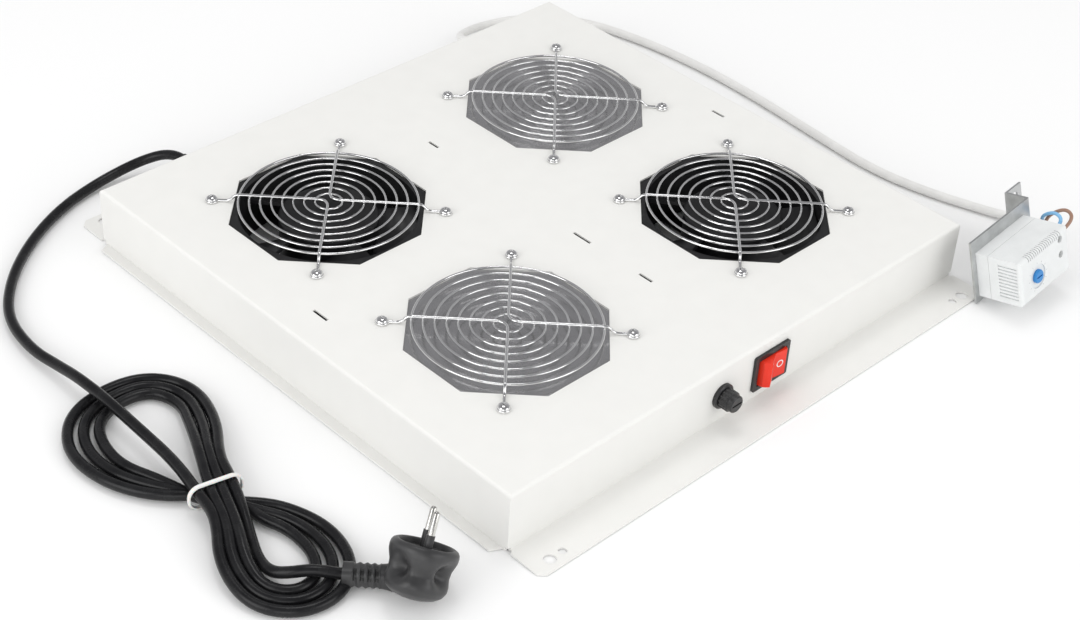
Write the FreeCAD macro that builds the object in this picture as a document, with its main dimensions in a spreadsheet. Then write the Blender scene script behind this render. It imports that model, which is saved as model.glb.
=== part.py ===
import FreeCAD, Part
import math
import os

import Sketcher
from FreeCAD import Placement, Rotation, Vector

# Rack fan tray: a folded sheet-steel tray, open underneath, with four fan places.  Two hold 120 mm
# mains fans, two are blanked, and each has a wire finger guard.  The front wall carries a fuse holder
# and a rocker switch, the rear wall the mains lead and the lead of a thermostat on its own bracket.
# Frame: origin at the centre of the footprint, on the floor that the tray stands on; X to the right
# along the front wall, Y from the front to the rear, Z up.  All lengths are millimetres.

doc = FreeCAD.newDocument("RackFanTray")
sheet = doc.addObject("Spreadsheet::Sheet", "Sizes")

SIZES = {
    # tray
    "tray_width": 400.0,
    "tray_depth": 382.0,
    "tray_height": 41.0,
    "steel": 1.2,
    "bend_radius": 2.2,
    "end_flange": 27.0,
    "side_flange": 7.0,
    "side_flange_inset": 3.5,
    "flange_corner": 4.0,
    "corner_relief": 2.2,
    "relief_height": 3.0,
    "opening_flats": 120.7,
    "fan_pitch_x": 201.0,
    "fan_pitch_y": 166.0,
    "screw_square": 105.0,
    "screw_clearance": 0.2,
    "slit_width": 2.2,
    "rack_hole_side_inset": 13.5,
    "rack_hole_end_inset": 7.7,
    "rack_hole_radius": 3.9,
    "peg_hole_offset": 9.7,
    "peg_hole_radius": 2.6,
    # fasteners of the guards
    "screw_radius": 2.0,
    "screw_length": 12.0,
    "screw_head_radius": 4.0,
    "screw_head_height": 2.6,
    "nut_flats": 7.0,
    "nut_height": 3.2,
    "thread_play": 0.03,
    # blanking plates
    "blank_side": 130.0,
    "blank_thickness": 1.0,
    # finger guards
    "ring_wire": 1.6,
    "spoke_wire": 2.0,
    "ring_count": 8.0,
    "ring_first": 8.7,
    "ring_step": 6.9,
    "guard_rise": 3.4,
    "spoke_offset": 1.5,
    # fans
    "fan_side": 120.0,
    "fan_depth": 38.0,
    "fan_flange": 4.0,
    "fan_corner": 5.0,
    "fan_bore": 57.5,
    "fan_wall": 2.0,
    "spider_disc": 30.0,
    "spider_arm": 8.0,
    "tube_bore": 8.0,
    "tube_wall": 2.0,
    "hub_radius": 32.0,
    "hub_wall": 2.5,
    "hub_top_wall": 3.0,
    "hub_height": 28.0,
    "hub_lift": 2.5,
    "blade_count": 5.0,
    "blade_tip_gap": 1.5,
    "blade_thickness": 2.2,
    "cage_thickness": 3.4,
    "air_gap": 0.6,
    "shaft_radius": 2.5,
    "shaft_play": 0.05,
    "bearing_width": 5.0,
    "stator_height": 14.0,
    "winding_height": 3.0,
    # rocker switch
    "switch_x": 14.6,
    "switch_z": 20.5,
    "bezel_end_rim": 1.8,
    "bezel_side_rim": 1.85,
    "bezel_thickness": 2.0,
    "switch_end_wall": 1.5,
    "switch_side_wall": 1.7,
    "switch_depth": 22.0,
    "rocker_length": 24.4,
    "rocker_width": 18.4,
    "rocker_play": 0.4,
    "rocker_tilt": 12.0,
    "rocker_pin": 1.5,
    # fuse holder
    "fuse_x": -28.0,
    "fuse_z": 19.6,
    "fuse_barrel": 6.2,
    "fuse_flange": 8.3,
    "fuse_flange_thickness": 2.6,
    "fuse_depth": 30.0,
    "fuse_bore": 4.3,
    "fuse_cap_radius": 6.6,
    "fuse_cap_height": 9.2,
    "fuse_link_radius": 2.6,
    "fuse_link_length": 20.0,
    # leads at the rear wall
    "mains_exit_x": -120.0,
    "mains_exit_z": 20.0,
    "stat_exit_x": 140.0,
    "stat_exit_z": 16.0,
    "mains_diameter": 6.8,
    "stat_diameter": 6.0,
    "wire_diameter": 2.4,
    # thermostat
    "stat_length": 54.0,
    "stat_height": 32.0,
    "stat_case_depth": 24.0,
    "stat_base_depth": 9.0,
    "dial_radius": 4.6,
    "stat_x": 190.9,
    "stat_gap": 29.8,
    "bracket_steel": 1.5,
    "bracket_height": 45.0,
    "bracket_length": 66.0,
    "bracket_web": 18.0,
    "bracket_foot": 15.0,
    # hank and plug of the mains lead
    "hank_height": 21.0,
    "tie_width": 3.4,
    "tie_thickness": 1.2,
    "plug_radius": 19.0,
    "pin_radius": 2.4,
    "pin_length": 19.0,
    "pin_spacing": 19.0,
}

for row, (alias, number) in enumerate(SIZES.items(), start=1):
    sheet.set(f"A{row}", alias)
    sheet.set(f"B{row}", repr(number))
    sheet.setAlias(f"B{row}", alias)
doc.recompute()


class Size:
    """A number together with the sheet expression that gives it."""

    def __init__(self, number, text):
        self.number = float(number)
        self.text = text

    @staticmethod
    def of(other):
        return other if isinstance(other, Size) else Size(other, f"({float(other)!r})")

    def __add__(self, other):
        other = Size.of(other)
        return Size(self.number + other.number, f"({self.text} + {other.text})")

    def __sub__(self, other):
        other = Size.of(other)
        return Size(self.number - other.number, f"({self.text} - {other.text})")

    def __mul__(self, other):
        other = Size.of(other)
        return Size(self.number * other.number, f"({self.text} * {other.text})")

    def __truediv__(self, other):
        other = Size.of(other)
        return Size(self.number / other.number, f"({self.text} / {other.text})")

    def __radd__(self, other):
        return Size.of(other) + self

    def __rsub__(self, other):
        return Size.of(other) - self

    def __rmul__(self, other):
        return Size.of(other) * self

    def __neg__(self):
        return Size.of(0.0) - self

    def __float__(self):
        return self.number


def size(alias):
    return Size(sheet.get(alias), f"Sizes.{alias}")


def mm(value):
    return float(value)


# ---------------------------------------------------------------------------------------------
# helpers for bodies, sketches and features
# ---------------------------------------------------------------------------------------------

NODES = {}


def register(label, obj):
    obj.Label = label
    NODES[label] = obj
    return obj


def new_body(label):
    return register(label, doc.addObject("PartDesign::Body", f"Body_{label}"))


def origin_feature(body, role):
    return next(f for f in body.Origin.OriginFeatures if f.Role == role)


def new_sketch(body, plane="XY_Plane", offset=0.0):
    """A sketch on one of the body's own origin planes, moved along the plane's normal."""
    sketch = body.newObject("Sketcher::SketchObject", "Sketch")
    sketch.AttachmentSupport = [(origin_feature(body, plane), "")]
    sketch.MapMode = "FlatFace"
    if isinstance(offset, Size):
        sketch.AttachmentOffset = Placement(Vector(0, 0, mm(offset)), Rotation())
        sketch.setExpression("AttachmentOffset.Base.z", offset.text)
    else:
        sketch.AttachmentOffset = Placement(Vector(0, 0, offset), Rotation())
    return sketch


def fix_point(sketch, geometry, position, x, y):
    """Ties a point to the sketch's origin by two sizes from the sheet."""
    for kind, value in (("DistanceX", Size.of(x)), ("DistanceY", Size.of(y))):
        index = sketch.addConstraint(
            Sketcher.Constraint(kind, -1, 1, geometry, position, value.number))
        sketch.setExpression(f"Constraints[{index}]", value.text)


def add_polygon(sketch, points):
    """A closed outline of straight edges through the given points."""
    first = sketch.GeometryCount
    count = len(points)
    for index, (x, y) in enumerate(points):
        end = points[(index + 1) % count]
        sketch.addGeometry(
            Part.LineSegment(Vector(mm(x), mm(y), 0), Vector(mm(end[0]), mm(end[1]), 0)))
    for index in range(count):
        sketch.addConstraint(Sketcher.Constraint(
            "Coincident", first + index, 2, first + (index + 1) % count, 1))
    for index, (x, y) in enumerate(points):
        fix_point(sketch, first + index, 1, x, y)


def add_rectangle(sketch, x0, y0, x1, y1):
    add_polygon(sketch, [(x0, y0), (x1, y0), (x1, y1), (x0, y1)])


def add_circle(sketch, x, y, radius):
    radius = Size.of(radius)
    index = sketch.addGeometry(
        Part.Circle(Vector(mm(x), mm(y), 0), Vector(0, 0, 1), radius.number))
    fix_point(sketch, index, 3, x, y)
    constraint = sketch.addConstraint(Sketcher.Constraint("Radius", index, radius.number))
    sketch.setExpression(f"Constraints[{constraint}]", radius.text)


def add_feature(body, kind, sketch, length, reverse=False, through=False):
    """A pad or pocket of a sketch; a pocket that removes nothing stops the build."""
    before = body.Shape.Volume if body.Tip else 0.0
    feature = body.newObject(f"PartDesign::{kind}", kind)
    feature.Profile = sketch
    if through:
        feature.Type = "ThroughAll"
        feature.Midplane = True
    else:
        length = Size.of(length)
        feature.Length = length.number
        feature.setExpression("Length", length.text)
    feature.Reversed = reverse
    sketch.Visibility = False
    doc.recompute()
    if kind == "Pocket" and body.Shape.Volume >= before - 1e-6:
        raise RuntimeError(f"a pocket of {body.Label} removes nothing")
    return feature


def pad(body, sketch, length, reverse=False):
    return add_feature(body, "Pad", sketch, length, reverse)


def pocket(body, sketch, length=1.0, reverse=False, through=False):
    return add_feature(body, "Pocket", sketch, length, reverse, through)


def revolve(body, profile, plane="XZ_Plane", axis="Z_Axis"):
    """A solid of revolution about one of the body's own axes."""
    sketch = new_sketch(body, plane)
    add_polygon(sketch, profile)
    feature = body.newObject("PartDesign::Revolution", "Revolution")
    feature.Profile = sketch
    feature.ReferenceAxis = (origin_feature(body, axis), [""])
    feature.Angle = 360
    doc.recompute()
    return feature


def revolved_body(label, profile, plane="XZ_Plane", axis="Z_Axis"):
    body = new_body(label)
    revolve(body, profile, plane, axis)
    return body


def polar_pattern(body, feature, count, axis="Z_Axis"):
    pattern = body.newObject("PartDesign::PolarPattern", "PolarPattern")
    pattern.Originals = [feature]
    pattern.Axis = (origin_feature(body, axis), [""])
    pattern.Angle = 360
    pattern.Occurrences = int(round(mm(count)))
    body.Tip = pattern
    doc.recompute()
    return pattern


def edges_where(shape, test):
    """Names of the straight edges whose end points pass a test."""
    names = []
    for index, edge in enumerate(shape.Edges, start=1):
        ends = [v.Point for v in edge.Vertexes]
        if len(ends) == 2 and isinstance(edge.Curve, Part.Line) and test(*ends):
            names.append(f"Edge{index}")
    return names


def fillet(body, test, radius):
    base = body.Tip
    names = edges_where(base.Shape, test)
    if not names:
        raise RuntimeError(f"{body.Label} has no edge to round")
    feature = body.newObject("PartDesign::Fillet", "Fillet")
    feature.Base = (base, names)
    radius = Size.of(radius)
    feature.Radius = radius.number
    feature.setExpression("Radius", radius.text)
    doc.recompute()
    return feature


def part_feature(label, shape, placement=None):
    """A shape made with Part's own functions, where no sketch or primitive fits."""
    obj = doc.addObject("Part::Feature", f"Shape_{label}")
    obj.Shape = shape
    if placement:
        obj.Placement = placement
    return register(label, obj)


def move(obj, x=0.0, y=0.0, z=0.0):
    """Places an object by sizes from the sheet."""
    obj.Placement = Placement(Vector(mm(x), mm(y), mm(z)), obj.Placement.Rotation)
    for axis, value in (("x", x), ("y", y), ("z", z)):
        if isinstance(value, Size):
            obj.setExpression(f"Placement.Base.{axis}", value.text)
    return obj


def group_of(label, master, places):
    """Identical solids in one node: links to one hidden master, each at its own place."""
    links = []
    for x, y, z in places:
        link = doc.addObject("App::Link", f"Link_{label}")
        link.LinkedObject = master
        links.append(move(link, x, y, z))
    compound = doc.addObject("Part::Compound", f"Group_{label}")
    compound.Links = links
    return register(label, compound)


def master_of(body):
    """Takes a body off the list of nodes, because only its copies are pieces."""
    NODES.pop(body.Label)
    return body


# ---------------------------------------------------------------------------------------------
# places that several pieces share
# ---------------------------------------------------------------------------------------------

half_width = size("tray_width") / 2
half_depth = size("tray_depth") / 2
top = size("tray_height")
steel = size("steel")
under_top = top - steel
screw_half = size("screw_square") / 2
front = -half_depth
rear = half_depth

FAN_PLACES = {
    "front_left": (-(size("fan_pitch_x") / 2), -(size("fan_pitch_y") / 2)),
    "front_right": (size("fan_pitch_x") / 2, -(size("fan_pitch_y") / 2)),
    "rear_left": (-(size("fan_pitch_x") / 2), size("fan_pitch_y") / 2),
    "rear_right": (size("fan_pitch_x") / 2, size("fan_pitch_y") / 2),
}
FANNED = ("front_right", "rear_left")
BLANKED = ("front_left", "rear_right")
SIGNS = ((-1, -1), (1, -1), (1, 1), (-1, 1))


def screw_places(place):
    x, y = FAN_PLACES[place]
    return [(x + screw_half * sx, y + screw_half * sy) for sx, sy in SIGNS]


# ---------------------------------------------------------------------------------------------
# tray
# ---------------------------------------------------------------------------------------------

# Cable-tie slits in the top: centre x, centre y, length along Y.
SLITS = [(0.0, 96.0, 9.5), (0.0, -44.5, 15.0), (0.0, -100.0, 11.0), (24.0 - half_width, -1.5, 13.0),
         (half_width - 21.5, 1.0, 11.0)]

FIT = 0.15
switch_length = size("rocker_length") + size("switch_end_wall") * 2
switch_width = size("rocker_width") + size("switch_side_wall") * 2
bezel_length = switch_length + size("bezel_end_rim") * 2
bezel_width = switch_width + size("bezel_side_rim") * 2
bushing_neck = size("mains_diameter") / 2 + 2.5
grommet_neck = size("stat_diameter") / 2 + 2.0


def tray_chassis():
    body = new_body("tray_chassis")

    sketch = new_sketch(body)
    add_rectangle(sketch, -half_width, front, half_width, rear)
    pad(body, sketch, top)

    sketch = new_sketch(body)
    add_rectangle(sketch, steel - half_width, front + steel, half_width - steel, rear - steel)
    pocket(body, sketch, under_top, reverse=True)

    height = mm(top)
    inner_height = mm(under_top)
    fillet(body, lambda a, b: abs(a.z - height) < 1e-6 and abs(b.z - height) < 1e-6,
           size("bend_radius"))
    fillet(body, lambda a, b: abs(a.z - inner_height) < 1e-6 and abs(b.z - inner_height) < 1e-6,
           size("bend_radius") - steel)

    # end flanges, full width with clipped corners, and the narrow side flanges
    sketch = new_sketch(body)
    corner = size("flange_corner")
    for side in (-1, 1):
        inner = (half_depth - steel) * side
        outer = (half_depth + size("end_flange")) * side
        shoulder = (half_depth + size("end_flange") - corner) * side
        add_polygon(sketch, [(-half_width, inner), (half_width, inner), (half_width, shoulder),
                             (half_width - corner, outer), (corner - half_width, outer),
                             (-half_width, shoulder)])
    pad(body, sketch, steel)
    sketch = new_sketch(body)
    reach = half_depth - size("side_flange_inset")
    for side in (-1, 1):
        inner = (half_width - steel) * side
        outer = (half_width + size("side_flange")) * side
        add_polygon(sketch, [(inner, -reach), (inner, reach), (outer, reach - corner),
                             (outer, corner - reach)])
    pad(body, sketch, steel)

    # round reliefs where the folds meet
    sketch = new_sketch(body)
    for sx, sy in SIGNS:
        add_circle(sketch, half_width * sx, half_depth * sy, size("corner_relief"))
    pocket(body, sketch, size("relief_height"), reverse=True)

    # four octagonal openings
    sketch = new_sketch(body, offset=under_top)
    flat = size("opening_flats") / 2
    side = flat * math.tan(math.pi / 8)
    octagon = [(flat, -side), (flat, side), (side, flat), (-side, flat),
               (-flat, side), (-flat, -side), (-side, -flat), (side, -flat)]
    for x, y in FAN_PLACES.values():
        add_polygon(sketch, [(x + dx, y + dy) for dx, dy in octagon])
    pocket(body, sketch, steel, reverse=True)

    # screw holes around them, and the slits for cable ties
    sketch = new_sketch(body, offset=under_top)
    for place in FAN_PLACES:
        for x, y in screw_places(place):
            add_circle(sketch, x, y, size("screw_radius") + size("screw_clearance"))
    half_slit = size("slit_width") / 2
    for x, y, length in SLITS:
        add_rectangle(sketch, x - half_slit, y - length / 2, x + half_slit, y + length / 2)
    pocket(body, sketch, steel, reverse=True)

    # holes of the end flanges
    sketch = new_sketch(body)
    hole_x = half_width - size("rack_hole_side_inset")
    hole_y = half_depth + size("end_flange") - size("rack_hole_end_inset")
    for sx, sy in SIGNS:
        add_circle(sketch, hole_x * sx, hole_y * sy, size("rack_hole_radius"))
        add_circle(sketch, (hole_x - size("peg_hole_offset")) * sx, hole_y * sy,
                   size("peg_hole_radius"))
    pocket(body, sketch, steel, reverse=True)

    # cut-outs of the front wall: switch and fuse holder
    sketch = new_sketch(body, "XZ_Plane", -(front + steel))
    cut_x = switch_length / 2 + FIT
    cut_z = switch_width / 2 + FIT
    add_rectangle(sketch, size("switch_x") - cut_x, size("switch_z") - cut_z,
                  size("switch_x") + cut_x, size("switch_z") + cut_z)
    add_circle(sketch, size("fuse_x"), size("fuse_z"), size("fuse_barrel") + FIT)
    pocket(body, sketch, steel, reverse=True)

    # holes of the rear wall: the two leads
    sketch = new_sketch(body, "XZ_Plane", -rear)
    add_circle(sketch, size("mains_exit_x"), size("mains_exit_z"), bushing_neck)
    add_circle(sketch, size("stat_exit_x"), size("stat_exit_z"), grommet_neck)
    pocket(body, sketch, steel, reverse=True)
    return body


def blanking_plate(place):
    body = new_body(f"blanking_plate_{place}")
    x, y = FAN_PLACES[place]
    half = size("blank_side") / 2
    sketch = new_sketch(body)
    add_rectangle(sketch, -half, -half, half, half)
    pad(body, sketch, size("blank_thickness"))
    sketch = new_sketch(body)
    for sx, sy in SIGNS:
        add_circle(sketch, screw_half * sx, screw_half * sy,
                   size("screw_radius") + size("screw_clearance"))
    pocket(body, sketch, size("blank_thickness"), reverse=True)
    move(body, x, y, under_top - size("blank_thickness"))


# ---------------------------------------------------------------------------------------------
# finger guards and their fasteners
# ---------------------------------------------------------------------------------------------

def tube(points, diameter, name=None):
    """A round rod along straight runs joined by tangent arcs as large as the runs allow."""
    edges = []
    radii = []
    start = points[0]
    for before, corner, after in zip(points, points[1:], points[2:]):
        into = corner - before
        away = after - corner
        turn = into.getAngle(away)
        radius = 0.45 * min(into.Length, away.Length) / math.tan(turn / 2)
        radii.append(radius)
        setback = radius * math.tan(turn / 2)
        into.normalize()
        away.normalize()
        first = corner - into * setback
        last = corner + away * setback
        bisector = away - into
        bisector.normalize()
        centre = corner + bisector * (radius / math.cos(turn / 2))
        middle = centre - bisector * radius
        edges.append(Part.LineSegment(start, first).toShape())
        edges.append(Part.Arc(first, middle, last).toShape())
        start = last
    edges.append(Part.LineSegment(start, points[-1]).toShape())
    path = Part.Wire(edges)
    heading = points[1] - points[0]
    circle = Part.Wire(Part.Circle(points[0], heading, mm(diameter) / 2).toShape())
    solid = path.makePipeShell([circle], True, True)
    expected = math.pi * mm(diameter) ** 2 / 4 * path.Length
    if abs(solid.Volume - expected) > 0.01 * expected:
        raise RuntimeError(f"the rod of {name} has the wrong volume")
    if name:
        print(f"{name}: length {path.Length:.0f}, smallest bend radius {min(radii):.1f}")
    return solid


def polygon_ring(radius, wire, z, sides):
    """A ring of square wire, drawn with straight sides."""
    def prism(distance):
        corner = distance / math.cos(math.pi / sides)
        points = [Vector(corner * math.cos(2 * math.pi * (k + 0.5) / sides),
                         corner * math.sin(2 * math.pi * (k + 0.5) / sides), z)
                  for k in range(sides)]
        face = Part.Face(Part.makePolygon(points + points[:1]))
        return face.extrude(Vector(0, 0, wire))
    return prism(radius + wire / 2).cut(prism(radius - wire / 2))


def square_rod(points, wire):
    """A rod of square wire along a flat bent path, mitred at each bend."""
    heading = points[1] - points[0]
    heading.normalize()
    up = Vector(0, 0, 1)
    side = heading.cross(up)
    half = wire / 2
    corners = [points[0] + side * (half * a) + up * (half * b)
               for a, b in ((-1, -1), (1, -1), (1, 1), (-1, 1))]
    profile = Part.makePolygon(corners + corners[:1])
    return Part.makePolygon(points).makePipeShell([profile], True, False, 1)


weld = 0.2
eye_play = 0.25
foot_flat = 1.5
spoke_bend_out = 2.5
guard_turn = -45.0


def ring_sides(index):
    """Straight sides of a guard ring: fewer on the small ones."""
    return 16 if index < 2 else 24 if index < 5 else 32


def guard_shape():
    """Concentric rings under two bent spokes, whose ends turn down into eyes for the screws."""
    ring = mm(size("ring_wire"))
    spoke = mm(size("spoke_wire"))
    rise = mm(size("guard_rise"))
    pieces = []
    for index in range(int(mm(size("ring_count")))):
        radius = mm(size("ring_first") + size("ring_step") * index)
        pieces.append(polygon_ring(radius, ring, rise, ring_sides(index)))
    last_ring = radius
    spoke_z = rise + ring - weld + spoke / 2
    eye_centre = mm(screw_half) * math.sqrt(2)
    eye_radius = mm(size("screw_radius")) + eye_play + spoke / 2
    foot = eye_centre - eye_radius
    bend = last_ring + spoke_bend_out
    offset = mm(size("spoke_offset"))
    for turn in (0, 180):
        path = [Vector(foot, 0, spoke / 2), Vector(foot - foot_flat, 0, spoke / 2),
                Vector(bend, 0, spoke_z), Vector(offset, 0, spoke_z)]
        mirrored = [Vector(0, p.x, p.z) for p in reversed(path)]
        rod = square_rod(path[:3] + [Vector(offset, 0, spoke_z), Vector(0, offset, spoke_z)]
                         + mirrored[1:], spoke)
        spin = Rotation(Vector(0, 0, 1), guard_turn + turn)
        pieces.append(rod.transformed(Placement(Vector(), spin).toMatrix(), True))
    for quarter in range(4):
        angle = math.radians(45 + 90 * quarter)
        centre = Vector(eye_centre * math.cos(angle), eye_centre * math.sin(angle), 0)
        outer = Part.makeCylinder(eye_radius + spoke / 2, spoke, centre)
        inner = Part.makeCylinder(eye_radius - spoke / 2, spoke, centre)
        pieces.append(outer.cut(inner))
    return pieces[0].multiFuse(pieces[1:]).removeSplitter()


recess_half, recess_half_width, recess_depth = 2.3, 0.45, 1.3
head_side, head_crown = 0.45, 0.72


def guard_screw():
    """Pan-head screw, its head resting at height 0 and its shank pointing down."""
    radius, head = size("screw_radius"), size("screw_head_radius")
    tall = size("screw_head_height")
    body = revolved_body("guard_screw", [
        (0, 0 - size("screw_length")), (radius, 0 - size("screw_length")), (radius, 0.0),
        (head, 0.0), (head, tall * head_side), (head * head_crown, tall), (0, tall)])
    for x, y in ((recess_half, recess_half_width), (recess_half_width, recess_half)):
        sketch = new_sketch(body, offset=tall - recess_depth)
        add_rectangle(sketch, -x, -y, x, y)
        pocket(body, sketch, recess_depth, reverse=True)
    return master_of(body)


def hexagon(flats):
    corner = flats / (2 * math.cos(math.pi / 6))
    return [(corner * math.cos(math.pi / 3 * k), corner * math.sin(math.pi / 3 * k))
            for k in range(6)]


def guard_nut():
    """Hexagon nut hanging down from height 0."""
    body = new_body("guard_nut")
    sketch = new_sketch(body)
    add_polygon(sketch, hexagon(size("nut_flats")))
    add_circle(sketch, 0.0, 0.0, size("screw_radius") + size("thread_play"))
    pad(body, sketch, size("nut_height"), reverse=True)
    return master_of(body)


def guards():
    wire = guard_shape()
    for place, (x, y) in FAN_PLACES.items():
        part_feature(f"finger_guard_{place}", wire.copy(),
                     Placement(Vector(mm(x), mm(y), mm(top)), Rotation()))
    head_z = top + size("spoke_wire")
    screws = [(x, y, head_z) for place in FAN_PLACES for x, y in screw_places(place)]
    group_of("guard_screws", guard_screw(), screws)
    fan_seat = under_top - size("fan_flange")
    blank_seat = under_top - size("blank_thickness")
    nuts = [(x, y, fan_seat if place in FANNED else blank_seat)
            for place in FAN_PLACES for x, y in screw_places(place)]
    group_of("guard_nuts", guard_nut(), nuts)


# ---------------------------------------------------------------------------------------------
# fans: built at the origin with the frame's lower face at height 0, then placed
# ---------------------------------------------------------------------------------------------

fan_overlap = 1.0
arm_height = 4.0
disc_bore_inset = 3.0
bearing_seat = arm_height + 2.0
hub_bottom = arm_height + size("hub_lift")
hub_top = hub_bottom + size("hub_height")
cavity_top = hub_top - size("hub_top_wall")
winding_gap = 2.0
stator_bottom = hub_bottom + winding_gap + size("winding_height")
stator_top = stator_bottom + size("stator_height")
tube_top = stator_top + size("winding_height") + 0.5
hub_chamfer = 1.2
boss_radius, boss_gap = 6.0, 0.5
slot_count, slot_half, slot_from_tube = 8, 2.0, 4.0
winding_in, winding_out = 1.0, 3.0
cage_low, cage_high = 1.0, 2.0
shaft_foot, shaft_head = 0.3, 1.0
tube_outer = size("tube_bore") + size("tube_wall")
hub_inner = size("hub_radius") - size("hub_wall")
cage_inner = hub_inner - size("cage_thickness")
stator_radius = cage_inner - size("air_gap")
clip_z = arm_height + 0.8
clip_height, clip_groove, clip_reach = 0.6, 0.5, 1.4


def fan_frame(place):
    body = new_body(f"fan_frame_{place}")
    half = size("fan_side") / 2
    depth = size("fan_depth")

    sketch = new_sketch(body)
    add_rectangle(sketch, -half, -half, half, half)
    pad(body, sketch, depth)
    fillet(body, lambda a, b: abs(a.z - b.z) > 1.0, size("fan_corner"))

    # waist between the two square flanges
    sketch = new_sketch(body, offset=size("fan_flange"))
    around = half + fan_overlap
    add_rectangle(sketch, -around, -around, around, around)
    add_circle(sketch, 0.0, 0.0, size("fan_bore") + size("fan_wall"))
    pocket(body, sketch, depth - size("fan_flange") * 2, reverse=True)

    sketch = new_sketch(body)
    add_circle(sketch, 0.0, 0.0, size("fan_bore"))
    pocket(body, sketch, depth, reverse=True)

    # motor support: a disc on four arms, with the bearing tube
    sketch = new_sketch(body)
    add_circle(sketch, 0.0, 0.0, size("spider_disc"))
    add_circle(sketch, 0.0, 0.0, size("tube_bore") - disc_bore_inset)
    disc = pad(body, sketch, arm_height)
    sketch = new_sketch(body)
    half_arm = size("spider_arm") / 2
    add_rectangle(sketch, size("spider_disc") - fan_overlap, -half_arm,
                  size("fan_bore") + fan_overlap, half_arm)
    arm = pad(body, sketch, arm_height)
    polar_pattern(body, arm, 4)
    sketch = new_sketch(body, offset=0.0)
    add_circle(sketch, 0.0, 0.0, tube_outer)
    add_circle(sketch, 0.0, 0.0, size("tube_bore"))
    pad(body, sketch, tube_top)

    sketch = new_sketch(body)
    for sx, sy in SIGNS:
        add_circle(sketch, screw_half * sx, screw_half * sy,
                   size("screw_radius") + size("screw_clearance"))
    pocket(body, sketch, depth, reverse=True)
    return body


def blade_shape():
    """One curved blade, from inside the hub's wall out to the tip circle."""
    hub = mm(size("hub_radius"))
    tip = mm(size("fan_bore") - size("blade_tip_gap"))
    low, high = mm(hub_bottom) + 1.0, mm(hub_top) - 1.0
    thick = mm(size("blade_thickness"))

    def section(radius, chord, sweep, z0, z1, bulge):
        start = Vector(radius, sweep - chord / 2, z0)
        end = Vector(radius, sweep + chord / 2, z1)
        middle = (start + end) * 0.5 + Vector(0, -bulge * 0.5, bulge)
        lift = Vector(0, -thick * 0.4, thick)
        under = Part.Arc(start, middle, end).toShape()
        over = Part.Arc(end + lift, middle + lift, start + lift).toShape()
        return Part.Wire([under, Part.LineSegment(end, end + lift).toShape(), over,
                          Part.LineSegment(start + lift, start).toShape()])

    root = section(hub - 6.0, 24.0, 0.0, low, high - 2.0, 2.0)
    outer = section(tip + 5.0, 52.0, 6.0, low + 2.0, high - 6.0, 4.0)
    loft = Part.makeLoft([root, outer], True, True)
    ring = Part.makeCylinder(tip, 60.0).cut(Part.makeCylinder(hub - 0.5, 60.0))
    return loft.common(ring)


def fan_rotor(place):
    """Hub cup with its blades, one moulding."""
    hub, inner = mm(size("hub_radius")), mm(hub_inner)
    cup = Part.makeCylinder(hub, mm(size("hub_height")), Vector(0, 0, mm(hub_bottom)))
    cup = cup.makeChamfer(hub_chamfer, [e for e in cup.Edges
                                if isinstance(e.Curve, Part.Circle)
                                and abs(e.CenterOfMass.z - mm(hub_top)) < 1e-6])
    cup = cup.cut(Part.makeCylinder(inner, mm(cavity_top - hub_bottom), Vector(0, 0, mm(hub_bottom))))
    boss_foot = mm(tube_top) + boss_gap
    boss = Part.makeCylinder(boss_radius, mm(cavity_top) - boss_foot + 0.5, Vector(0, 0, boss_foot))
    blade = blade_shape()
    count = int(mm(size("blade_count")))
    blades = []
    for index in range(count):
        turned = blade.copy()
        turned.rotate(Vector(), Vector(0, 0, 1), 360.0 * index / count + 20.0)
        blades.append(turned)
    solid = cup.multiFuse([boss] + blades)
    bore_foot, bore_end = boss_foot - fan_overlap, mm(hub_top) - shaft_head
    bore = Part.makeCylinder(mm(size("shaft_radius")), bore_end - bore_foot, Vector(0, 0, bore_foot))
    return part_feature(f"fan_rotor_{place}", solid.cut(bore).removeSplitter())


def stator_core(place):
    body = new_body(f"stator_core_{place}")
    sketch = new_sketch(body, offset=stator_bottom)
    add_circle(sketch, 0.0, 0.0, stator_radius)
    add_circle(sketch, 0.0, 0.0, tube_outer)
    pad(body, sketch, size("stator_height"))
    sketch = new_sketch(body, offset=stator_bottom)
    add_rectangle(sketch, tube_outer + slot_from_tube, -slot_half, stator_radius + fan_overlap, slot_half)
    slot = pocket(body, sketch, size("stator_height"), reverse=True)
    polar_pattern(body, slot, slot_count)
    return body


def stator_windings(place):
    """Two coils, one under and one over the core."""
    body = new_body(f"stator_windings_{place}")
    inner, outer = tube_outer + winding_in, stator_radius - winding_out
    for base in (stator_bottom - size("winding_height"), stator_top):
        sketch = new_sketch(body, offset=base)
        add_circle(sketch, 0.0, 0.0, outer)
        add_circle(sketch, 0.0, 0.0, inner)
        pad(body, sketch, size("winding_height"))
    return body


def bearing_places():
    return (bearing_seat, tube_top - size("bearing_width"))


def bearings(place):
    """Two ball bearings pressed into the tube."""
    body = new_body(f"fan_bearings_{place}")
    for base in bearing_places():
        sketch = new_sketch(body, offset=base)
        add_circle(sketch, 0.0, 0.0, size("tube_bore"))
        add_circle(sketch, 0.0, 0.0, size("shaft_radius") + size("shaft_play"))
        pad(body, sketch, size("bearing_width"))
    return body


def rotor_cage(place):
    return revolved_body(f"rotor_cage_{place}", [
        (cage_inner, hub_bottom + cage_low), (hub_inner, hub_bottom + cage_low),
        (hub_inner, stator_top + cage_high), (cage_inner, stator_top + cage_high)])


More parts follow.
